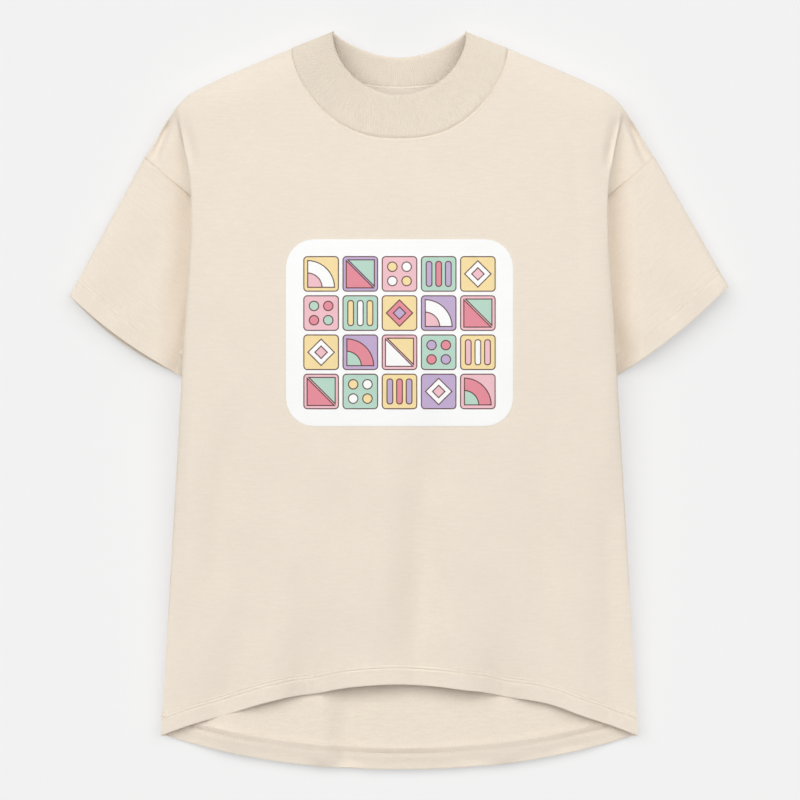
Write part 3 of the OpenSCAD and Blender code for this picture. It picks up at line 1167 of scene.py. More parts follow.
def knit_loops(slope: float = 1.1, least: float = 0.0001, fullness: float = 0.6) -> bpy.types.NodeTree:
    """Group that gives the height of knitted loops: pairs of slanting legs in columns.

    Args:
        slope: Climb of a leg, in courses over the width of a column.
        least: Least height, so that its power is defined.
        fullness: Power that rounds the legs.

    Returns:
        The node group.
    """
    canvas, given = new_group(
        "knit_loops",
        {"Flat": SocketKind.VECTOR, "Wale": SocketKind.VALUE, "Course": SocketKind.VALUE},
        {"Height": SocketKind.VALUE},
    )
    parts = canvas.add("ShaderNodeSeparateXYZ", {0: given["Flat"]})
    wale = canvas.math("DIVIDE", parts.outputs[0], given["Wale"])
    course = canvas.math("DIVIDE", parts.outputs[1], given["Course"])
    across = canvas.math("ABSOLUTE", canvas.math("SUBTRACT", canvas.math("FRACT", wale), 0.5))
    slant = canvas.math("ADD", course, canvas.math("MULTIPLY", across, slope))
    leg = canvas.math("SINE", canvas.math("MULTIPLY", across, math.tau))
    loop = canvas.math("SINE", canvas.math("MULTIPLY", canvas.math("FRACT", slant), math.pi))
    body = canvas.math("MAXIMUM", canvas.math("MULTIPLY", leg, loop), least)
    canvas.add("NodeGroupOutput", {"Height": canvas.math("POWER", body, fullness)})
    return canvas.tree


def yarn_tone(stretch: tuple[float, float, float] = (70.0, 380.0, 1.0), speck_scale: float = 420.0,
              cloud_scale: float = 26.0, speck_share: float = 0.8) -> bpy.types.NodeTree:
    """Group that gives cloth the tone of uneven yarn: thin streaks across and soft clouds.

    Args:
        stretch: Streaks to a metre, across and along the cloth.
        speck_scale: Specks to a metre.
        cloud_scale: Clouds to a metre.
        speck_share: Strength of the specks beside the streaks.

    Returns:
        The node group.
    """
    canvas, given = new_group(
        "yarn_tone",
        {
            "Flat": SocketKind.VECTOR,
            "Colour": SocketKind.COLOUR,
            "Streak": SocketKind.VALUE,
            "Cloud": SocketKind.VALUE,
        },
        {"Colour": SocketKind.COLOUR, "Height": SocketKind.VALUE},
    )
    stretched = canvas.vector("MULTIPLY", given["Flat"], stretch)
    noises = (
        {"Vector": stretched, "Scale": 1.0, "Detail": 3.0, "Roughness": 0.6},
        {"Vector": given["Flat"], "Scale": speck_scale, "Detail": 2.0},
        {"Vector": given["Flat"], "Scale": cloud_scale, "Detail": 3.0},
    )
    fields = [canvas.add("ShaderNodeTexNoise", noise).outputs["Fac"] for noise in noises]
    streak, speck, cloud = (canvas.math("SUBTRACT", item, 0.5) for item in fields)
    yarn = canvas.math("ADD", streak, canvas.math("MULTIPLY", speck, speck_share))
    tone = canvas.math(
        "ADD",
        canvas.math("MULTIPLY_ADD", yarn, given["Streak"], 1.0),
        canvas.math("MULTIPLY", cloud, given["Cloud"]),
    )
    shade = canvas.add("ShaderNodeVectorMath", {0: given["Colour"], "Scale": tone}, operation="SCALE")
    canvas.add("NodeGroupOutput", {"Colour": shade.outputs[0], "Height": yarn})
    return canvas.tree


@dataclass(frozen=True)
class ClothFinish:
    """Finish of a knitted cloth."""

    name: str
    colour: Colour
    wale: float
    course: float
    loop_h: float
    streak: float
    cloud: float
    yarn_h: float = 0.00004
    roughness: float = 0.92
    sheen: float = 0.12
    specular: float = 0.18

    def material(self, groups: dict[str, bpy.types.NodeTree]) -> bpy.types.Material:
        """Build the material.

        Args:
            groups: The shared node groups, by name.

        Returns:
            The new material.
        """
        made = bpy.data.materials.new(self.name)
        made.use_nodes = True
        canvas = Canvas(made.node_tree)
        flat = canvas.add("ShaderNodeUVMap", uv_map="cloth").outputs[0]
        look = {"Flat": flat, "Colour": linear(self.colour), "Streak": self.streak, "Cloud": self.cloud}
        tone = canvas.add("ShaderNodeGroup", node_tree=groups["yarn_tone"])
        canvas.join(tone, look)
        loops = canvas.add("ShaderNodeGroup", node_tree=groups["knit_loops"])
        canvas.join(loops, {"Flat": flat, "Wale": self.wale, "Course": self.course})
        relief = canvas.add("ShaderNodeBump", {"Height": loops.outputs["Height"], "Distance": self.loop_h})
        if self.yarn_h:
            yarn = canvas.add("ShaderNodeBump", {"Height": tone.outputs["Height"], "Distance": self.yarn_h})
            canvas.join(relief, {"Normal": yarn.outputs[0]})
        shader = canvas.add("ShaderNodeBsdfPrincipled", {
            "Base Color": tone.outputs["Colour"],
            "Normal": relief.outputs[0],
            "Roughness": self.roughness,
            "Sheen Weight": self.sheen,
            "Specular IOR Level": self.specular,
        })
        canvas.add("ShaderNodeOutputMaterial", {"Surface": shader.outputs[0]})
        return made


@dataclass(frozen=True)
class InkFinish(ClothFinish):
    """Finish of the transfer film or of an ink on it: smooth, with the knit faintly showing through."""

    wale: float = 0.0010
    course: float = 0.0008
    loop_h: float = 0.00003
    streak: float = 0.03
    cloud: float = 0.03
    yarn_h: float = 0.0
    roughness: float = 0.55
    sheen: float = 0.0
    specular: float = 0.3


class Ink(Enum):
    """Colours of the print."""

    WHITE = (251, 251, 250)
    PINK = (240, 192, 200)
    ROSE = (229, 140, 154)
    MINT = (184, 216, 200)
    LAVENDER = (194, 172, 208)
    HONEY = (246, 222, 164)
    BROWN = (92, 58, 52)


@dataclass
class Finishes:
    """The materials of the shirt."""

    def __post_init__(self) -> None:
        """Build the shared groups and every material."""
        groups = {"knit_loops": knit_loops(), "yarn_tone": yarn_tone()}
        cloths = (
            ClothFinish("jersey_face", (244, 232, 216), 0.00095, 0.00075, 0.00010, 0.10, 0.03),
            ClothFinish("jersey_reverse", (239, 227, 211), 0.0014, 0.00085, 0.00012, 0.14, 0.03),
            ClothFinish("rib_knit", (234, 222, 206), 0.0012, 0.0009, 0.00008, 0.04, 0.02),
            # The inner ply's rib is the same knit as the outer rib, painted lighter: painted light that makes
            # up for the shade inside the collar.
            ClothFinish("rib_inside_painted_light", (245, 233, 217), 0.0012, 0.0009, 0.00008, 0.04, 0.02),
            # The neck tape's cream knit is painted lighter than its own colour: partly its own cream, partly
            # painted light that makes up for the shade under the front collar.
            ClothFinish("neck_tape_knit_and_painted_light", (246, 235, 221), 0.0012, 0.0006, 0.00014, 0.04, 0.01),
            ClothFinish("sewing_thread", (244, 233, 219), 0.0004, 0.0005, 0.00006, 0.04, 0.01),
        )
        made = [cloth.material(groups) for cloth in cloths]
        face, reverse, rib, rib_inside_painted_light, tape, thread = made
        self.jersey = [face, reverse]
        self.rib = [rib, rib_inside_painted_light]
        self.tape = [tape, tape]
        self.thread = [thread]
        self.inks = [InkFinish(f"film_{ink.name.lower()}", ink.value).material(groups) for ink in Ink]


@dataclass
class BodyPanel:
    """One cut of jersey for the front or the back of the body."""

    shape: ShirtShape
    hem: Hem
    neck_cells: int = 36
    shoulder_cells: int = 36
    strip_cells: int = 16
    body_rows: int = 118
    arm_rows: int = 44
    top_rows: int = 40
    edge_crowd: float = 0.75
    strip_power: float = 1.5
    neck_dip: SeamDip = SeamDip(0.0013, 0.0009, 0.0003, 0.0026, 0.0016)

    @property
    def neck_u(self) -> float:
        """Share of the shoulder's half width that the neckline takes."""
        return self.shape.neck_w / 2 / self.shape.shoulder_x

    def rows(self) -> Array:
        """Places of the grid rows, from 0 at the hem to 3 at the shoulder.

        Returns:
            The places, in rising order.
        """
        levels = self.hem.levels() / self.shape.body_l
        body = np.linspace(levels[-1], 1, self.body_rows + 1)[1:]
        arm = 2 - np.cos(np.linspace(0, math.pi / 2, self.arm_rows + 1))[1:]
        top = 2 + (1 - np.cos(np.linspace(0, math.pi, self.top_rows + 1)))[1:] / 2
        return np.concatenate([levels, body, arm, top])

    def columns(self) -> tuple[Array, Array, Array]:
        """Places of the grid columns of one half.

        Returns:
            Shares across up to the shoulder fold, shares across the strip beyond it, and the angles on
            the neckline of the first columns.
        """
        at_neck = np.linspace(0, 1, self.neck_cells + 1)
        out = np.linspace(0, 1, self.shoulder_cells + 1)[1:]
        out = mix(out, np.sin(math.pi / 2 * out), self.edge_crowd)
        share = np.concatenate([self.neck_u * at_neck, mix(self.neck_u, 1, out)])
        strip = np.linspace(0, 1, self.strip_cells + 1)[1:] ** self.strip_power
        return share, strip, math.pi / 2 * (1 - at_neck)

    def top_line(self, share: Array, neckline: Array) -> Array:
        """Top edge of the panel seen from above: the neckline, then the shoulder seam."""
        seam = self.shape.shoulder_seam(self.shape.shoulder_x * share[self.neck_cells + 1:])
        return np.concatenate([neckline, seam])

    def seam_groove(self, grid: Array) -> Array:
        """How far the cloth dips to the seam along its top edge, at each point of the grid."""
        length = run_along(grid, 1)
        return self.neck_dip.lift(length[:, -1:] - length)


@dataclass
class FrontPanel(BodyPanel):
    """Front of the body, with the dropped shoulders."""

    wave_share: float = 0.12
    crease_share: float = 0.12
    handle_part: int = 3
    top_power: int = 4
    hem_waves: tuple[tuple[float, float, float], ...] = (
        (-0.175, 0.034, -0.0030),
        (-0.120, 0.030, -0.0010),
        (-0.084, 0.020, -0.0022),
        (-0.012, 0.030, 0.0012),
        (0.066, 0.016, -0.0010),
        (0.108, 0.020, -0.0020),
        (0.150, 0.024, 0.0012),
        (0.190, 0.030, -0.0010),
    )

    def half(self, side: Side) -> Array:
        """Outer points of one half, from the middle over the edge to the seam.

        Args:
            side: The half that is made.

        Returns:
            The grid of points, by column and row.
        """
        shape, w = self.shape, self.rows()
        share, strip, angle = self.columns()
        u, v = share[:, None, None], shape.row_v(w)[None, :, None]
        low, high = shape.front_hem(np.array(0.0)), shape.front_neck(np.array(math.pi / 2))
        edge = shape.edge_point(w)
        top = self.top_line(share, shape.front_neck(angle))
        corners = [low, edge[0], high, edge[-1]]
        bottom = shape.front_hem(shape.hem_w / 2 * share)[:, None]
        main = patch(mix(low, high, v), edge[None], bottom, top[:, None], corners, u, v)
        main[..., 0] *= side.value
        main[..., 1] += self.hem_wave(main[..., 0]) * ease(1 - v[..., 0] / self.wave_share)
        main[..., 2] = shape.front_h(main[..., 0], main[..., 1])
        over = self.over_edge(strip, w)
        over[..., 0] *= side.value
        return np.concatenate([main, over])

    def over_edge(self, strip: Array, w: Array) -> Array:
        """Points of the strip that turns over the edge to the seam.

        Args:
            strip: Shares across the strip.
            w: Places of the rows.

        Returns:
            The grid of points of the right half.
        """
        shape, r = self.shape, strip[:, None, None]
        start, end = shape.edge_point(w), shape.front_seam(w)
        up = np.clip(w - 2, 0, 1)[:, None]
        turn = mix(shape.seam_down, shape.drop_turn, up) / self.handle_part
        drop = np.concatenate([np.zeros((len(w), 2)), turn], 1)
        reach = up * shape.drop_level * (start - end) * [1, 1, 0]
        over = bezier(start, start - drop, end + reach + drop, end, r)
        top = shape.shoulder_seam(mix(shape.shoulder_x, shape.drop_x, strip))
        over += (top - over[:, -1])[:, None] * up**self.top_power
        clear = shape.clear_of_edge(over[-1, :, 0], over[-1, :, 1]) * ease(strip / self.crease_share)[:, None]
        over[..., 2] += shape.valley(*np.moveaxis(over, -1, 0)) * clear
        return over

    def hem_wave(self, x: Array) -> Array:
        """How far the hem line strays along the body at a place across."""
        return sum(height * bell(x - place, width) for place, width, height in self.hem_waves)

    def build(self) -> ClothSheet:
        """Make the cloth of the panel.

        Returns:
            The cloth.
        """
        left, right = self.half(Side.RIGHT), self.half(Side.LEFT)
        grid = np.concatenate([left[:0:-1], right])
        normals = normals_of(grid)
        level = run_along(grid, 1)
        relief = self.hem.relief(level, grid[..., 0]) + self.seam_groove(grid)
        grid = grid + (relief * facing_up(normals))[..., None] * normals
        return ClothSheet(grid, self.hem.thickness(level, grid[..., 0], self.shape.jersey_t), level_flat=True)

    def dress(self, finishes: Finishes, threads: Threads) -> list[bpy.types.Object]:
        """Make the front with its hem stitches and the film on it.

        Args:
            finishes: The materials of the shirt.
            threads: The sewing threads.

        Returns:
            The finished pieces.
        """
        sheet = self.build()
        cloth = settle(sheet.mesh().build("front_cloth"), finishes.jersey, "jersey", "front_panel")
        rows = threads.hem_rows("front_hem_stitches", sheet, self.strip_cells)
        settle(rows, finishes.thread, "jersey")
        film = settle(ChestPrint(self.shape).build(), finishes.inks, "film", "chest_print")
        declare(cloth, sheet, self.hem.depth)
        return [cloth, rows, film]


@dataclass
class BackPanel(BodyPanel):
    """Back of the body, which the shirt rests on."""

    hem_lift: float = 0.0100
    lift_reach: float = 0.150
    lift_side: float = 0.075
    hem_roll: float = 0.0022
    roll_reach: float = 0.011
    inner_folds: tuple[Crease, ...] = (
        Crease((-0.078, -0.220), (-0.076, -0.440), 0.012, 0.0036),
        Crease((-0.050, -0.220), (-0.052, -0.440), 0.014, -0.0040),
        Crease((0.070, -0.230), (0.074, -0.440), 0.012, -0.0016),
        Crease((0.104, -0.230), (0.110, -0.440), 0.014, 0.0024),
        Crease((0.160, -0.240), (0.176, -0.430), 0.013, -0.0020),
        Crease((-0.160, -0.250), (-0.170, -0.430), 0.014, 0.0016),
    )
    shoulder_tuck: float = 0.0016
    tuck_reach: float = 0.008
    tuck_fade: float = 0.05
    fold_start: float = 0.010
    fold_least: float = 0.3
    fold_power: float = 0.3

    def half(self, side: Side) -> Array:
        """Outer points of one half, from the middle to the seam.

        Args:
            side: The half that is made.

        Returns:
            The grid of points, by column and row.
        """
        shape, w = self.shape, self.rows()
        share, strip, angle = self.columns()
        main_u = shape.shoulder_x / shape.drop_x
        across = np.concatenate([main_u * share, mix(main_u, 1, np.sin(math.pi / 2 * strip))])
        u, v = across[:, None, None], shape.row_v(w)[None, :, None]
        low, high = shape.back_hem(np.array(0.0)), shape.back_neck(np.array(math.pi / 2))
        seam = shape.back_seam(w)
        drop = shape.shoulder_seam(mix(shape.shoulder_x, shape.drop_x, strip))
        top = np.concatenate([self.top_line(share, shape.back_neck(angle)), drop])
        corners = [low, seam[0], high, np.array([shape.drop_x, shape.drop_y, 0])]
        bottom = shape.back_hem(seam[0, 0] * across)[:, None]
        grid = patch(mix(low, high, v), seam[None], bottom, top[:, None], corners, u, v)
        grid[..., 2] = shape.back_h(grid[..., 0], grid[..., 1])
        grid[-1, :, 2] = shape.rim_h(grid[-1, :, 1])
        grid[..., 0] *= side.value
        return grid

    def build(self) -> ClothSheet:
        """Make the cloth of the panel.

        Returns:
            The cloth.
        """
        left, right = self.half(Side.RIGHT), self.half(Side.LEFT)
        grid = np.concatenate([right[:0:-1], left])
        level = run_along(grid, 1)
        near = ease(1 - level / self.lift_reach)
        near *= ease((self.shape.hem_w / 2 - np.abs(grid[..., 0])) / self.lift_side)
        soft = sum(fold.lift(grid[..., 0], grid[..., 1]) for fold in self.inner_folds)
        soft = soft * ease(level / self.fold_start + self.fold_least) * near**self.fold_power
        grid[..., 2] += self.hem_lift * near + soft
        grid[..., 2] -= self.hem_roll * ease((self.hem.rows[0] - level) / self.roll_reach) * near
        grid[..., 2] = np.maximum(grid[..., 2], 0)
        tuck = self.shoulder_tuck * bell(level[:, -1:] - level, self.tuck_reach)
        tuck *= ease((np.abs(grid[:, -1:, 0]) / self.shape.neck_w - 0.5) / self.tuck_fade)
        grid -= tuck[..., None] * [0, 1, 1]
        return ClothSheet(grid, self.hem.thickness(level, grid[..., 0], self.shape.jersey_t), level_flat=True)

    def dress(self, finishes: Finishes, threads: Threads) -> list[bpy.types.Object]:
        """Make the back with the stitches that cover its turned edge.

        Args:
            finishes: The materials of the shirt.
            threads: The sewing threads.

        Returns:
            The finished pieces.
        """
        sheet = self.build()
        cloth = settle(sheet.mesh().build("back_cloth"), finishes.jersey, "jersey", "back_panel")
        rows = settle(threads.cover_rows("back_hem_cover_stitches", sheet), finishes.thread, "jersey")
        declare(cloth, sheet, self.hem.depth)
        return [cloth, rows]


@dataclass(frozen=True)
class SleeveLay:
    """How one sleeve lies: its length, its slopes in degrees and how far its hem bows out.

    Attributes:
        length: Length of the upper edge, from the dropped shoulder to the hem.
        slope: Fall of the upper edge.
        cuff_slope: Fall of the hem.
        bow: Bow of the upper half of the hem.
        under_bow: Bow of its lower half.
        crown_h: Height of the upper half of the hem at its middle.
        open_h: Height of the opening there.
    """

    length: float
    slope: float
    cuff_slope: float
    bow: float
    under_bow: float
    crown_h: float
    open_h: float


@dataclass
class Sleeve:
    """One short sleeve: a flattened tube from the armhole seam to its hem."""

    shape: ShirtShape
    hem: Hem
    side: Side
    lay: SleeveLay
    cuff_tuck: float = 0.0005
    inner_fold_h: float = 0.006
    inner_power: float = 4.0
    drop_share: float = 0.35
    cuff_out_round: float = 0.2
    cuff_in_round: float = 0.25
    root_gap: float = 0.0001
    drop_rows: int = 44
    fold_rows: int = 60
    rings: int = 46
    root_dip: SeamDip = SeamDip(0.0006, 0.0016, 0.0005, 0.0050, 0.0030)
    root_fade: float = 0.020
    hem_share: float = 0.6
    wave_h: float = 0.00035
    wave_l: float = 0.085
    wave_seed: int = 31
    drag_h: float = 0.0010
    drag_l: float = 0.062
    drag_end: float = 0.12
    drag_fade: float = 0.10
    hem_fade: float = 0.02

    def cuff_ends(self) -> tuple[Array, Array]:
        """Outer and inner end of the sleeve hem.

        Returns:
            The two points.
        """
        shape, slope = self.shape, math.radians(self.lay.slope)
        out = np.array([shape.drop_x, shape.drop_y, shape.drop_h])
        out = out + self.lay.length * np.array([math.cos(slope), -math.sin(slope), 0])
        fall = math.tan(math.radians(self.lay.cuff_slope))
        y = shape.arm_y
        for tuck in (0.0, self.cuff_tuck):
            y = out[1] - (out[0] - float(shape.edge_x(y)) + tuck) * fall
        inner = np.array([float(shape.edge_x(y)) - self.cuff_tuck, y, self.inner_fold_h])
        return out, inner

    def half_ring(self, upper: bool, w: Array, s: Array) -> Array:
        """Points of the upper or the lower half of the tube.

        Args:
            upper: Whether it is the upper half.
            w: Places of the columns along the armhole.
            s: Places along the sleeve, from 0 at the armhole to 1 at the hem.

        Returns:
            The grid of points of the sleeve at +X.
        """
        shape = self.shape
        out, inner = self.cuff_ends()
        g = np.where(w >= 2, (3 - w) * self.drop_share, mix(self.drop_share, 1, 2 - w))
        cuff = mix(out, inner, g[:, None])
        along = (inner - out) / np.linalg.norm(inner - out)
        bow = (self.lay.bow if upper else self.lay.under_bow) * np.sin(math.pi * g)
        cuff[:, :2] += bow[:, None] * [-along[1], along[0]]
        full = dome(g / self.cuff_out_round) * dome((1 - g) / self.cuff_in_round)
        cuff[:, 2] = mix(cuff[:, 2], self.lay.crown_h, full) - (0 if upper else self.lay.open_h * full)
        root = shape.front_seam(w) if upper else shape.back_seam(w)
        top, foot = shape.front_seam(np.array(3.0)), shape.front_seam(np.array(1.0))
        sv, gv = s[None, :, None], g[:, None, None]
        grid = patch(mix(top, out, sv), mix(foot, inner, sv), root[:, None], cuff[:, None],
                     [top, foot, out, inner], gv, sv)
        grid[..., 0] += self.root_gap * gv[..., 0] ** self.inner_power
        pressed = 1 if upper else 1 - self.lay.open_h / self.lay.crown_h
        clear = shape.clear_of_edge(grid[..., 0], grid[..., 1])
        grid[..., 2] += shape.valley(*np.moveaxis(grid, -1, 0)) * clear * pressed
        grid[..., 2] = np.maximum(grid[..., 2], 0)
        return grid

    def build(self) -> ClothSheet:
        """Make the cloth of the sleeve.

        Returns:
            The cloth.
        """
        turns = np.linspace(0, math.pi, self.drop_rows + 1)
        drop = 3 - (1 - np.cos(turns)) / 2
        fold = 1 + np.sin(np.linspace(math.pi / 2, 0, self.fold_rows + 1))[1:]
        w = np.concatenate([drop, fold])
        hem_s = 1 - self.hem.levels()[::-1] / self.lay.length
        arm_s = np.linspace(self.root_gap / self.lay.length, hem_s[0], self.rings + 1)[:-1]
        s = np.concatenate([arm_s, hem_s])
        upper = self.half_ring(True, w, s)
        lower = self.half_ring(False, w[::-1], s)[1:-1]
        grid = np.concatenate([upper, lower])
        grid = grid[:, ::-1]
        grid = grid * [-1, 1, 1] if self.side is Side.RIGHT else grid[::-1]
        normals = normals_of(grid, closed=True)
        level = run_along(grid, 1)
        along = run_along(grid, 0)
        root = level[:, -1:] - level
        soft = self.softness(grid, level, along) * ease(root / self.root_fade)
        relief = self.hem_share * self.hem.relief(level, along) + soft
        upward = facing_up(normals)
        grid = grid + (relief * upward)[..., None] * normals
        grid[..., 2] += self.root_dip.lift(root) * upward
        return ClothSheet(grid, self.hem.thickness(level, grid[..., 0], self.shape.jersey_t), closed=True)

    def softness(self, grid: Array, level: Array, along: Array) -> Array:
        """Soft folds that run down the sleeve.

        Args:
            grid: Outer points of the sleeve.
            level: Distance of each point from the hem.
            along: Distance of each point round the sleeve.

        Returns:
            The height to add at each point.
        """
        waves = Waver(self.wave_h, self.wave_l, self.wave_seed + self.side.value)
        drag = self.drag_h * np.sin(math.tau * along / self.drag_l)
        drag = drag * ease((self.drag_end - level) / self.drag_fade)
        return waves.lift(grid[..., 0], grid[..., 1]) + drag * ease(level / self.hem_fade)

    def dress(self, finishes: Finishes, threads: Threads) -> list[bpy.types.Object]:
        """Make the sleeve with its hem stitches.

        Args:
            finishes: The materials of the shirt.
            threads: The sewing threads.

        Returns:
            The finished pieces.
        """
        label = self.side.name.lower()
        sheet = self.build()
        made = sheet.mesh().build(f"{label}_sleeve_cloth")
        cloth = settle(made, finishes.jersey, "jersey", f"{label}_sleeve")
        rows = settle(threads.hem_rows(f"{label}_sleeve_stitches", sheet), finishes.thread, "jersey")
        declare(cloth, sheet, self.hem.depth)
        return [cloth, rows]


@dataclass
class Collar:
    """Mock neck: a doubled band of rib with its fold at the top edge."""

    shape: ShirtShape
    collar_w: float = 0.136
    front_fall: float = 0.064
    back_fall: float = 0.025
    front_h: float = 0.034
    side_h: float = 0.024
    back_h: float = 0.005
    front_power: float = 1.05
    back_power: float = 2.0
    foot_gap: float = 0.0001
    ply_gap: float = 0.0003
    rib_pitch: float = 0.0025
    rib_h: float = 0.00036
    rib_cells: int = 6
    rings: int = 12
    fold_steps: int = 4
    fine_cells: int = 2000
    ring_power: float = 1.4
    rib_power: float = 0.8
    rib_mid: float = 0.5
    foot_dip: SeamDip = SeamDip(0.0013, 0.0010, 0.0003, 0.0030, 0.0018)

    def top_edge(self, angle: Array, front: Array) -> Array:
        """Points of the collar's top edge.

        Args:
            angle: Angle round the neck.
            front: Whether each point is on the front.

        Returns:
            The points.
        """
        rise = np.abs(np.sin(angle))
        front_fall = self.front_fall * rise**self.front_power
        back_fall = self.back_fall * rise**self.back_power
        fall = np.where(front, front_fall, back_fall)
        height = np.where(front, self.front_h - self.side_h, self.back_h - self.side_h)
        return points(self.collar_w / 2 * np.cos(angle), self.shape.top_y - fall, self.side_h + height * rise)

    def stations(self) -> tuple[Array, Array, Array]:
        """Columns round the collar, evenly spaced along the neck seam.

        Returns:
            The angles, whether each is on the front, and the number of ribs at each column.
        """
        fine = np.linspace(0, math.pi, self.fine_cells)
        last = self.fine_cells - 1
        run = line_run(np.concatenate([self.shape.front_neck(fine[::-1]), self.shape.back_neck(fine)[1:-1]]))
        ribs = round(run[-1] / self.rib_pitch)
        at = np.linspace(0, run[-1], ribs * self.rib_cells, endpoint=False)
        on_front = at <= run[last]
        front_turn = np.interp(at, run[: last + 1], fine[::-1])
        back_turn = np.interp(at, run[last:], fine[:-1])
        return np.where(on_front, front_turn, back_turn), on_front, np.arange(len(at)) / self.rib_cells

    def build(self) -> ClothSheet:
        """Make the band, with its plies, its fold and its ribs.

        Returns:
            The cloth of the band.
        """
        angle, front, rib = self.stations()
        low = np.where(front[:, None], self.shape.front_neck(angle), self.shape.back_neck(angle))
        high = self.top_edge(angle, front)
        height = np.linalg.norm(high - low, axis=1, keepdims=True)
        share = np.linspace(0, 1, self.rings + 1) ** self.ring_power
        rise = mix(self.foot_gap / height, 1, share)[..., None]
        outer = mix(low[:, None], high[:, None], rise)
        normals = normals_of(outer, closed=True)
        reach = self.shape.rib_t + self.ply_gap / 2
        out = normals[:, -1]
        up = (high - low) / height
        middle = high - reach * out
        turns = math.pi * np.arange(1, self.fold_steps) / self.fold_steps
        fold = middle[:, None] + reach * (
            np.cos(turns)[None, :, None] * out[:, None] + np.sin(turns)[None, :, None] * up[:, None]
        )
        inner = outer - 2 * reach * normals
        path = np.concatenate([outer, fold, inner[:, ::-1]], 1)
        face = normals_of(path, closed=True)
        ridge = self.rib_h * (np.abs(np.cos(math.pi * rib)) ** self.rib_power - self.rib_mid)
        roll = self.foot_dip.lift(run_along(path, 1))
        path = path + (ridge[:, None] + roll)[..., None] * face
        # From the middle of the fold on, the inner ply takes the second rib material, which is painted
        # lighter than the outer ply to stand in for light inside the collar.
        turned_row = self.rings + self.fold_steps // 2
        return ClothSheet(path, np.array(self.shape.rib_t), closed=True, turned_row=turned_row)

    def dress(self, finishes: Finishes, threads: Threads) -> list[bpy.types.Object]:
        """Make the collar.

        Args:
            finishes: The materials of the shirt.
            threads: The sewing threads; not used, as none show on the collar.

        Returns:
            The finished pieces.
        """
        sheet = self.build()
        band = settle(sheet.mesh().build("collar_band"), finishes.rib, "rib", "collar_rib")
        declare(band, sheet)
        return [band]


@dataclass
class NeckTape:
    """Tape that covers the back neck seam on the inside."""

    shape: ShirtShape
    width: float = 0.0112
    start: float = 0.0011
    thickness: float = 0.0008
    gap: float = 0.0007
    reach_deg: float = 42.0
    crown_h: float = 0.0003
    crown_w: float = 0.002
    cells: int = 120
    rows: int = 12

    def build(self) -> ClothSheet:
        """Make the tape along the back neckline.

        Returns:
            The cloth of the tape.
        """
        shape, reach = self.shape, math.radians(self.reach_deg)
        angle = math.pi / 2 + np.linspace(reach, -reach, self.cells + 1)
        edge = shape.back_neck(angle)
        ahead = np.gradient(edge, axis=0)
        down = unit(np.stack([ahead[:, 1], -ahead[:, 0]], -1))
        away = np.linspace(self.start + self.width, self.start, self.rows + 1)
        x = edge[:, None, 0] + away * down[:, None, 0]
        y = edge[:, None, 1] + away * down[:, None, 1]
        crown = self.crown_h * dome(np.minimum(away - away[-1], away[0] - away) / self.crown_w)
        z = shape.back_h(x, y) + shape.jersey_t + self.gap + self.thickness + crown
        return ClothSheet(points(x, y, z), np.array(self.thickness))

    def dress(self, finishes: Finishes, threads: Threads) -> list[bpy.types.Object]:
        """Make the tape with its stitches.

        Args:
            finishes: The materials of the shirt.
            threads: The sewing threads.

        Returns:
            The finished pieces.
        """
        sheet = self.build()
        band = settle(sheet.mesh().build("neck_tape_band"), finishes.tape, "tape", "neck_tape")
        rows = settle(threads.tape_rows("neck_tape_stitches", sheet), finishes.thread, "tape")
        declare(band, sheet)
        return [band, rows]


class Motif(Enum):
    """Plain figures in the tiles of the print."""

    TRIANGLES = 0
    DOTS = 1
    BARS = 2
    DIAMOND = 3
    QUARTER = 4


@dataclass(frozen=True)
class Field:
    """Convex field of one ink."""

    outline: Array
    ink: Ink

    def holds(self, place: Array) -> Array:
        """Whether each place lies in the field.

        Args:
            place: Places on the film.

        Returns:
            True for each place inside.
        """
        a = self.outline
        b = np.roll(a, -1, 0)
        ahead, to = b - a, place[:, None] - a
        turn = ahead[:, 0] * to[..., 1] - ahead[:, 1] * to[..., 0]
        return (turn >= 0).all(1)


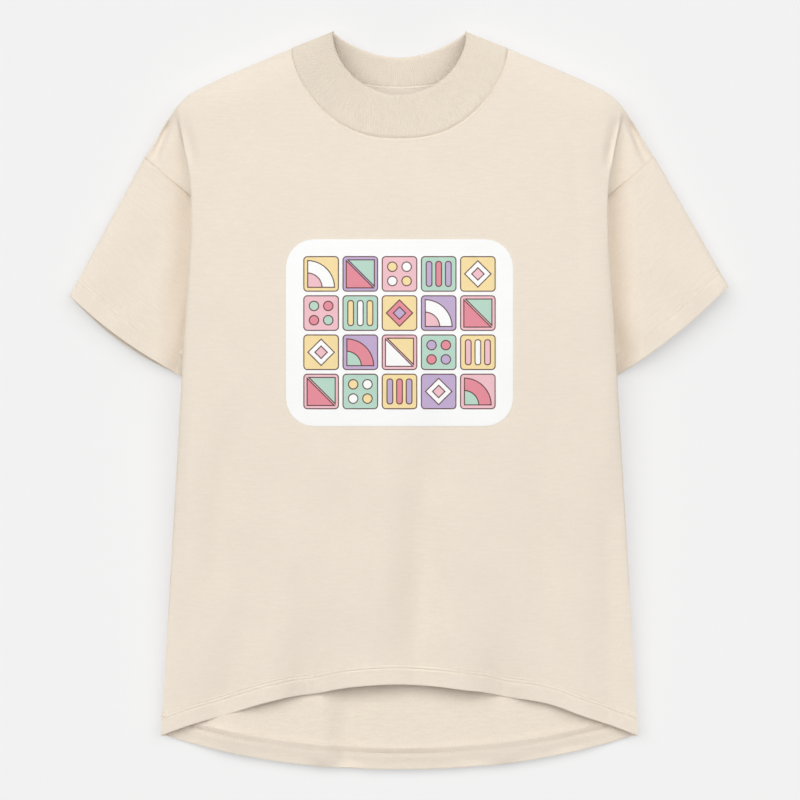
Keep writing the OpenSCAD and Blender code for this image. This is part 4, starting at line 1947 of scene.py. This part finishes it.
@dataclass
class ChestPrint:
    """Transfer film on the chest, printed with plain figures whose sizes are shares of half a tile."""

    shape: ShirtShape
    width: float = 0.226
    height: float = 0.186
    corner: float = 0.028
    fall: float = 0.285
    thickness: float = 0.0004
    gap: float = 0.0001
    margin: float = 0.014
    columns: int = 5
    tile: float = 0.0355
    space: float = 0.0035
    line: float = 0.0011
    mesh_step: float = 0.0042
    arc_steps: int = 24
    tile_round: float = 0.004
    tile_edge: float = 0.0012
    split: float = 0.001
    triangle: float = 0.94
    dot_at: float = 0.46
    dot_r: float = 0.34
    bar_at: float = 0.62
    bar_size: tuple[float, float, float] = (0.22, 0.84, 0.20)
    diamonds: tuple[float, float] = (0.9, 0.45)
    quarter_at: float = 0.9
    quarters: tuple[float, float] = (1.8, 1.0)
    inside: float = 0.985
    weld: float = 1e-6
    sharp_deg: float = 40.0

    @property
    def middle_y(self) -> float:
        """Level of the film's middle."""
        return self.shape.neck_y - self.fall

    def arc(self, centre: Sequence[float], radius: float, start: float, end: float, steps: int) -> Array:
        """Points along an arc, angles in turns.

        Args:
            centre: Middle of the arc.
            radius: Radius of the arc.
            start: First angle.
            end: Last angle.
            steps: Number of steps.

        Returns:
            The points, both ends included.
        """
        turn = math.tau * np.linspace(start, end, steps + 1)
        return np.array(centre) + radius * np.stack([np.cos(turn), np.sin(turn)], -1)

    def rounded(self, half_w: float, half_l: float, radius: float, centre: Sequence[float] = (0, 0)) -> Array:
        """Outline of a rectangle with round corners, counter-clockwise.

        Args:
            half_w: Half its width.
            half_l: Half its length.
            radius: Radius of its corners.
            centre: Its middle.

        Returns:
            The points of the outline.
        """
        sides = ((1, 1, 0.0), (-1, 1, 0.25), (-1, -1, 0.5), (1, -1, 0.75))
        arcs = []
        for sx, sy, start in sides:
            middle = (centre[0] + sx * (half_w - radius), centre[1] + sy * (half_l - radius))
            arcs.append(self.arc(middle, radius, start, start + 0.25, self.arc_steps // 4))
        return np.concatenate(arcs)

    def divided(self, outline: Array) -> Array:
        """The same outline with its long edges divided into steps of the mesh.

        Args:
            outline: Points of the outline.

        Returns:
            The points of the outline.
        """
        pieces = []
        for start, end in zip(outline, np.roll(outline, -1, 0)):
            steps = max(1, round(float(np.linalg.norm(end - start)) / self.mesh_step))
            pieces.append(mix(start, end, np.arange(steps)[:, None] / steps))
        return np.concatenate(pieces)

    def drawn(self, outline: Array, ink: Ink) -> list[Field]:
        """A field of ink with a thin dark outline round it.

        Args:
            outline: Convex outline, counter-clockwise.
            ink: Ink inside the outline.

        Returns:
            The two fields, the lower one first.
        """
        ahead = np.roll(outline, -1, 0) - outline
        out = unit(np.stack([ahead[:, 1], -ahead[:, 0]], -1))
        before = np.roll(out, 1, 0)
        corner = (out + before) / (1 + (out * before).sum(1, keepdims=True))
        inside = outline - self.line * corner
        return [Field(outline, Ink.BROWN), Field(inside, ink)]

    def figure(self, motif: Motif, centre: Array, inks: Sequence[Ink]) -> list[Field]:
        """Fields of the figure in one tile.

        Args:
            motif: The figure.
            centre: Middle of the tile.
            inks: The two inks of the figure.

        Returns:
            The fields, in the order in which they are laid.
        """
        half = self.tile / 2 - self.line - self.tile_edge
        if motif is Motif.TRIANGLES:
            low = np.array([[-half, -half], [half, -half], [-half, half]])
            high = np.array([[half, half], [-half + self.split, half], [half, -half + self.split]])
            outlines = [centre + self.triangle * low, centre + self.triangle * high]
        elif motif is Motif.DOTS:
            places = centre + self.dot_at * half * np.array([(-1, -1), (1, -1), (1, 1), (-1, 1)])
            outlines = [self.arc(place, self.dot_r * half, 0, 1, self.arc_steps)[:-1] for place in places]
        elif motif is Motif.BARS:
            half_w, half_l, radius = (share * half for share in self.bar_size)
            places = [centre + np.array([k * self.bar_at * half, 0]) for k in (-1, 0, 1)]
            outlines = [self.rounded(half_w, half_l, radius, place) for place in places]
            inks = inks[::-1]
        elif motif is Motif.DIAMOND:
            square = np.array([[1, 0], [0, 1], [-1, 0], [0, -1]])
            outlines = [centre + share * half * square for share in self.diamonds]
        else:
            heart = centre - self.quarter_at * half
            arcs = [self.arc(heart, share * half, 0, 0.25, self.arc_steps // 2) for share in self.quarters]
            outlines = [np.concatenate([[heart], arc]) for arc in arcs]
        laid = []
        for k, outline in enumerate(outlines):
            laid += self.drawn(outline, inks[k % 2])
        return laid

    def fields(self) -> list[Field]:
        """Every field of the print, in the order in which they are laid.

        Returns:
            The fields.
        """
        pastels = (Ink.PINK, Ink.MINT, Ink.HONEY, Ink.LAVENDER)
        motifs = tuple(Motif)
        pitch = self.tile + self.space
        rows = int((self.height - 2 * self.margin + self.space) / pitch)
        laid = []
        for column in range(self.columns):
            for row in range(rows):
                centre = pitch * np.array([column - (self.columns - 1) / 2, row - (rows - 1) / 2])
                ground = pastels[(column + 2 * row) % len(pastels)]
                other = pastels[(column + 2 * row + 1 + row % 2) % len(pastels)]
                bright = Ink.WHITE if (column + row) % 2 else Ink.ROSE
                outline = self.rounded(self.tile / 2, self.tile / 2, self.tile_round, centre)
                laid += self.drawn(outline, ground)
                laid += self.figure(motifs[(column + 3 * row) % len(motifs)], centre, (bright, other))
        return laid

    def build(self) -> bpy.types.Object:
        """Make the film, with each face of its top in the ink that lies there.

        Returns:
            The new object.
        """
        border = self.divided(self.rounded(self.width / 2, self.height / 2, self.corner))
        laid = self.fields()
        places, edges = [], []
        for outline in [border] + [item.outline for item in laid]:
            start = len(places)
            places += [Vector(p) for p in outline.tolist()]
            edges += [(start + k, start + (k + 1) % len(outline)) for k in range(len(outline))]
        whole = Field(border * self.inside, Ink.WHITE)
        across = np.arange(-self.width / 2, self.width / 2, self.mesh_step)
        along = np.arange(-self.height / 2, self.height / 2, self.mesh_step)
        spread = np.stack(np.meshgrid(across, along), -1).reshape(-1, 2)
        places += [Vector(p) for p in spread[whole.holds(spread)].tolist()]
        ring = list(range(len(border)))
        made = delaunay_2d_cdt(places, edges, [ring], 1, self.weld)
        return self.film(np.array([v[:] for v in made[0]]), [list(face) for face in made[2]], laid)

    def film(self, place: Array, faces: list[list[int]], laid: list[Field]) -> bpy.types.Object:
        """Raise the flat net of triangles to a closed film on the chest.

        Args:
            place: Points of the net, from the film's middle.
            faces: Triangles of the net.
            laid: Fields of ink, in the order in which they are laid.

        Returns:
            The new object.
        """
        inks = list(Ink)
        centre = place[np.array(faces)].mean(1)
        slot = np.zeros(len(faces), int)
        for item in laid:
            slot[item.holds(centre)] = inks.index(item.ink)
        x, y = place[:, 0], place[:, 1] + self.middle_y
        ground = self.shape.front_h(x, y) + self.gap
        count = len(place)
        top = points(x, y, ground + self.thickness)
        data = MeshData()
        data.add(np.concatenate([top, points(x, y, ground)]), faces, np.concatenate([place, place]))
        data.slots = slot.tolist()
        owners = {}
        for face in faces:
            for k in range(3):
                owners[(face[k], face[(k + 1) % 3])] = True
        rim = [(a, b) for a, b in owners if (b, a) not in owners]
        data.faces += [[a + count for a in reversed(face)] for face in faces]
        data.faces += [[b, a, a + count, b + count] for a, b in rim]
        data.slots += [0] * (len(faces) + len(rim))
        return data.build("chest_film", self.sharp_deg)


@dataclass
class Threads:
    """Sewing threads that show: the hems and the edges of the neck tape."""

    hem: Hem
    stitch: Stitch = Stitch()
    cover_over: float = 0.0006
    cross_lift: float = 0.3
    tape_row: int = 2

    def hem_rows(self, name: str, sheet: ClothSheet, bare: int = 0) -> bpy.types.Object:
        """Stitches of the two rows round a hem.

        Args:
            name: Name of the piece.
            sheet: The hemmed cloth.
            bare: Number of columns at each end of the cloth that carry no stitches.

        Returns:
            The new object.
        """
        level = run_along(sheet.outer, 1)
        data = MeshData()
        for row in self.hem.rows:
            j = int(np.abs(level.mean(0) - row).argmin())
            sewn = slice(bare, len(sheet.outer) - bare)
            self.stitch.row(data, sheet.outer[sewn, j], sheet.normals[sewn, j])
        return data.build(name)

    def cover_rows(self, name: str, sheet: ClothSheet) -> bpy.types.Object:
        """Looped threads that cover the turned edge on the inside of a hem.

        Args:
            name: Name of the piece.
            sheet: The hemmed cloth.

        Returns:
            The new object.
        """
        level = run_along(sheet.outer, 1).mean(0)
        edges = (self.hem.rows[0], self.hem.depth + self.cover_over)
        low, high = (int(np.abs(level - edge).argmin()) for edge in edges)
        data = MeshData()
        for j in (low, high):
            self.stitch.row(data, sheet.inner[:, j], -sheet.normals[:, j])
        self.zigzag(data, sheet.inner[:, low], sheet.inner[:, high], -sheet.normals[:, low])
        return data.build(name)

    def zigzag(self, data: MeshData, low: Array, high: Array, up: Array) -> None:
        """Add slanting threads between two lines.

        Args:
            data: Mesh data that the threads are added to.
            low: Points of the lower line.
            high: Points of the upper line.
            up: Normal of the cloth at the lower line.
        """
        stitch, run = self.stitch, line_run(low)
        count = int(run[-1] / (stitch.pitch / 2))
        at = np.linspace(0, run[-1], count + 1)
        is_low = (np.arange(count + 1) % 2 == 0)[:, None]
        ends = np.where(is_low, read_line(low, run, at), read_line(high, run, at))
        share = np.linspace(0, 1, stitch.rings)
        line = mix(ends[:-1, None], ends[1:, None], share[None, :, None])
        lift = np.broadcast_to(read_line(up, run, at[:-1])[:, None], line.shape)
        hump = stitch.arch * np.sin(np.pi * share) + stitch.radius * self.cross_lift
        stitch.tubes(data, line + lift * hump[:, None], lift, np.full(stitch.rings, stitch.radius))

    def tape_rows(self, name: str, sheet: ClothSheet) -> bpy.types.Object:
        """Stitches near the two edges of the neck tape.

        Args:
            name: Name of the piece.
            sheet: The tape.

        Returns:
            The new object.
        """
        data = MeshData()
        for j in (self.tape_row, -1 - self.tape_row):
            self.stitch.row(data, sheet.outer[:, j], sheet.normals[:, j])
        return data.build(name)


@dataclass
class Studio:
    """Plain pale floor, soft light and a camera that looks straight down."""

    floor_size: float = 8.0
    floor_colour: Colour = (242, 242, 242)
    floor_glow: float = 0.45
    floor_z: float = -0.0004
    view_w: float = 0.800
    view_z: float = 0.026
    view_x: float = 0.0005
    view_y: float = 0.001
    lens: float = 200.0
    sensor: float = 36.0
    sky: float = 0.20
    keys: tuple[tuple[str, float, float], ...] = (("key_left", 54.0, 1.62), ("key_right", -54.0, 1.28))
    key_soft_deg: float = 60.0
    key_tilt_deg: float = 30.0

    def floor(self) -> None:
        """Lay the floor, which is seen as evenly pale and still takes the shirt's shadow."""
        half = self.floor_size / 2
        mesh = bpy.data.meshes.new("studio_floor")
        corners = [(-half, -half), (half, -half), (half, half), (-half, half)]
        mesh.from_pydata([(x, y, self.floor_z) for x, y in corners], [], [(0, 1, 2, 3)])
        plane = bpy.data.objects.new("studio_floor", mesh)
        bpy.context.scene.collection.objects.link(plane)
        made = bpy.data.materials.new("studio_floor")
        made.use_nodes = True
        canvas = Canvas(made.node_tree)
        matt = canvas.add("ShaderNodeBsdfDiffuse", {"Color": linear(self.floor_colour)})
        glow = canvas.add("ShaderNodeEmission", {"Color": linear(self.floor_colour), "Strength": 1.0})
        path = canvas.add("ShaderNodeLightPath")
        seen = canvas.math("ADD", path.outputs["Is Camera Ray"], path.outputs["Is Glossy Ray"])
        seen = canvas.math("ADD", seen, path.outputs["Is Transmission Ray"])
        share = canvas.math("MULTIPLY", seen, self.floor_glow)
        shader = canvas.add("ShaderNodeMixShader", {0: share, 1: matt.outputs[0], 2: glow.outputs[0]})
        canvas.add("ShaderNodeOutputMaterial", {"Surface": shader.outputs[0]})
        mesh.materials.append(made)

    def light(self) -> None:
        """Set an even sky and two large soft lights from above the shoulders."""
        world = bpy.data.worlds.new("soft_sky")
        world.use_nodes = True
        canvas = Canvas(world.node_tree)
        sky = canvas.add("ShaderNodeBackground", {"Color": (1, 1, 1, 1), "Strength": self.sky})
        canvas.add("ShaderNodeOutputWorld", {"Surface": sky.outputs[0]})
        bpy.context.scene.world = world
        for name, turn_deg, energy in self.keys:
            lamp = bpy.data.lights.new(name, "SUN")
            lamp.energy = energy
            lamp.angle = math.radians(self.key_soft_deg)
            key = bpy.data.objects.new(name, lamp)
            bpy.context.scene.collection.objects.link(key)
            key.rotation_euler = (-math.radians(self.key_tilt_deg), 0, math.radians(turn_deg))

    def camera(self) -> None:
        """Hang the camera over the shirt, with the collar at the top of the picture."""
        data = bpy.data.cameras.new("camera")
        data.lens = self.lens
        data.sensor_width = self.sensor
        eye = bpy.data.objects.new("camera", data)
        bpy.context.scene.collection.objects.link(eye)
        eye.location = (self.view_x, self.view_y, self.view_z + self.view_w * self.lens / self.sensor)
        bpy.context.scene.camera = eye


def declare(piece: bpy.types.Object, sheet: ClothSheet, turned: float = 0.0) -> None:
    """Log the size that a piece of cloth was cut to.

    Args:
        piece: The finished piece.
        sheet: The cloth that it was made from.
        turned: Depth of the hem that is turned in.
    """
    width, length, area = sheet.flat_size()
    length = length + turned
    area = min(area + turned * width, width * length)
    LOG.info("%s: cut %.3f x %.3f m, %.4f m2", piece.name, width, length, area)


def main() -> None:
    """Build the shirt piece by piece, dress it and light it."""
    logging.basicConfig(level=logging.INFO, format="%(name)s: %(message)s")
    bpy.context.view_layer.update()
    bpy.context.scene.view_settings.view_transform = "Standard"
    shape, hem = ShirtShape(), Hem()
    finishes = Finishes()
    threads = Threads(hem)
    lays = {
        Side.LEFT: SleeveLay(length=0.1493, slope=60.25, cuff_slope=38.6, bow=0.0045, under_bow=0.0045,
                             crown_h=0.022, open_h=0.022),
        Side.RIGHT: SleeveLay(length=0.1580, slope=61.60, cuff_slope=35.5, bow=0.0050, under_bow=0.0082,
                              crown_h=0.017, open_h=0.010),
    }
    sleeves = [Sleeve(shape, hem, side, lay) for side, lay in lays.items()]
    parts = [BackPanel(shape, hem), FrontPanel(shape, hem), *sleeves, Collar(shape), NeckTape(shape)]
    for part in parts:
        for piece in part.dress(finishes, threads):
            LOG.info("%s: %d faces", piece.name, len(piece.data.polygons))
    studio = Studio()
    studio.floor()
    studio.light()
    studio.camera()
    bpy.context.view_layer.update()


if __name__ == "__main__":
    main()
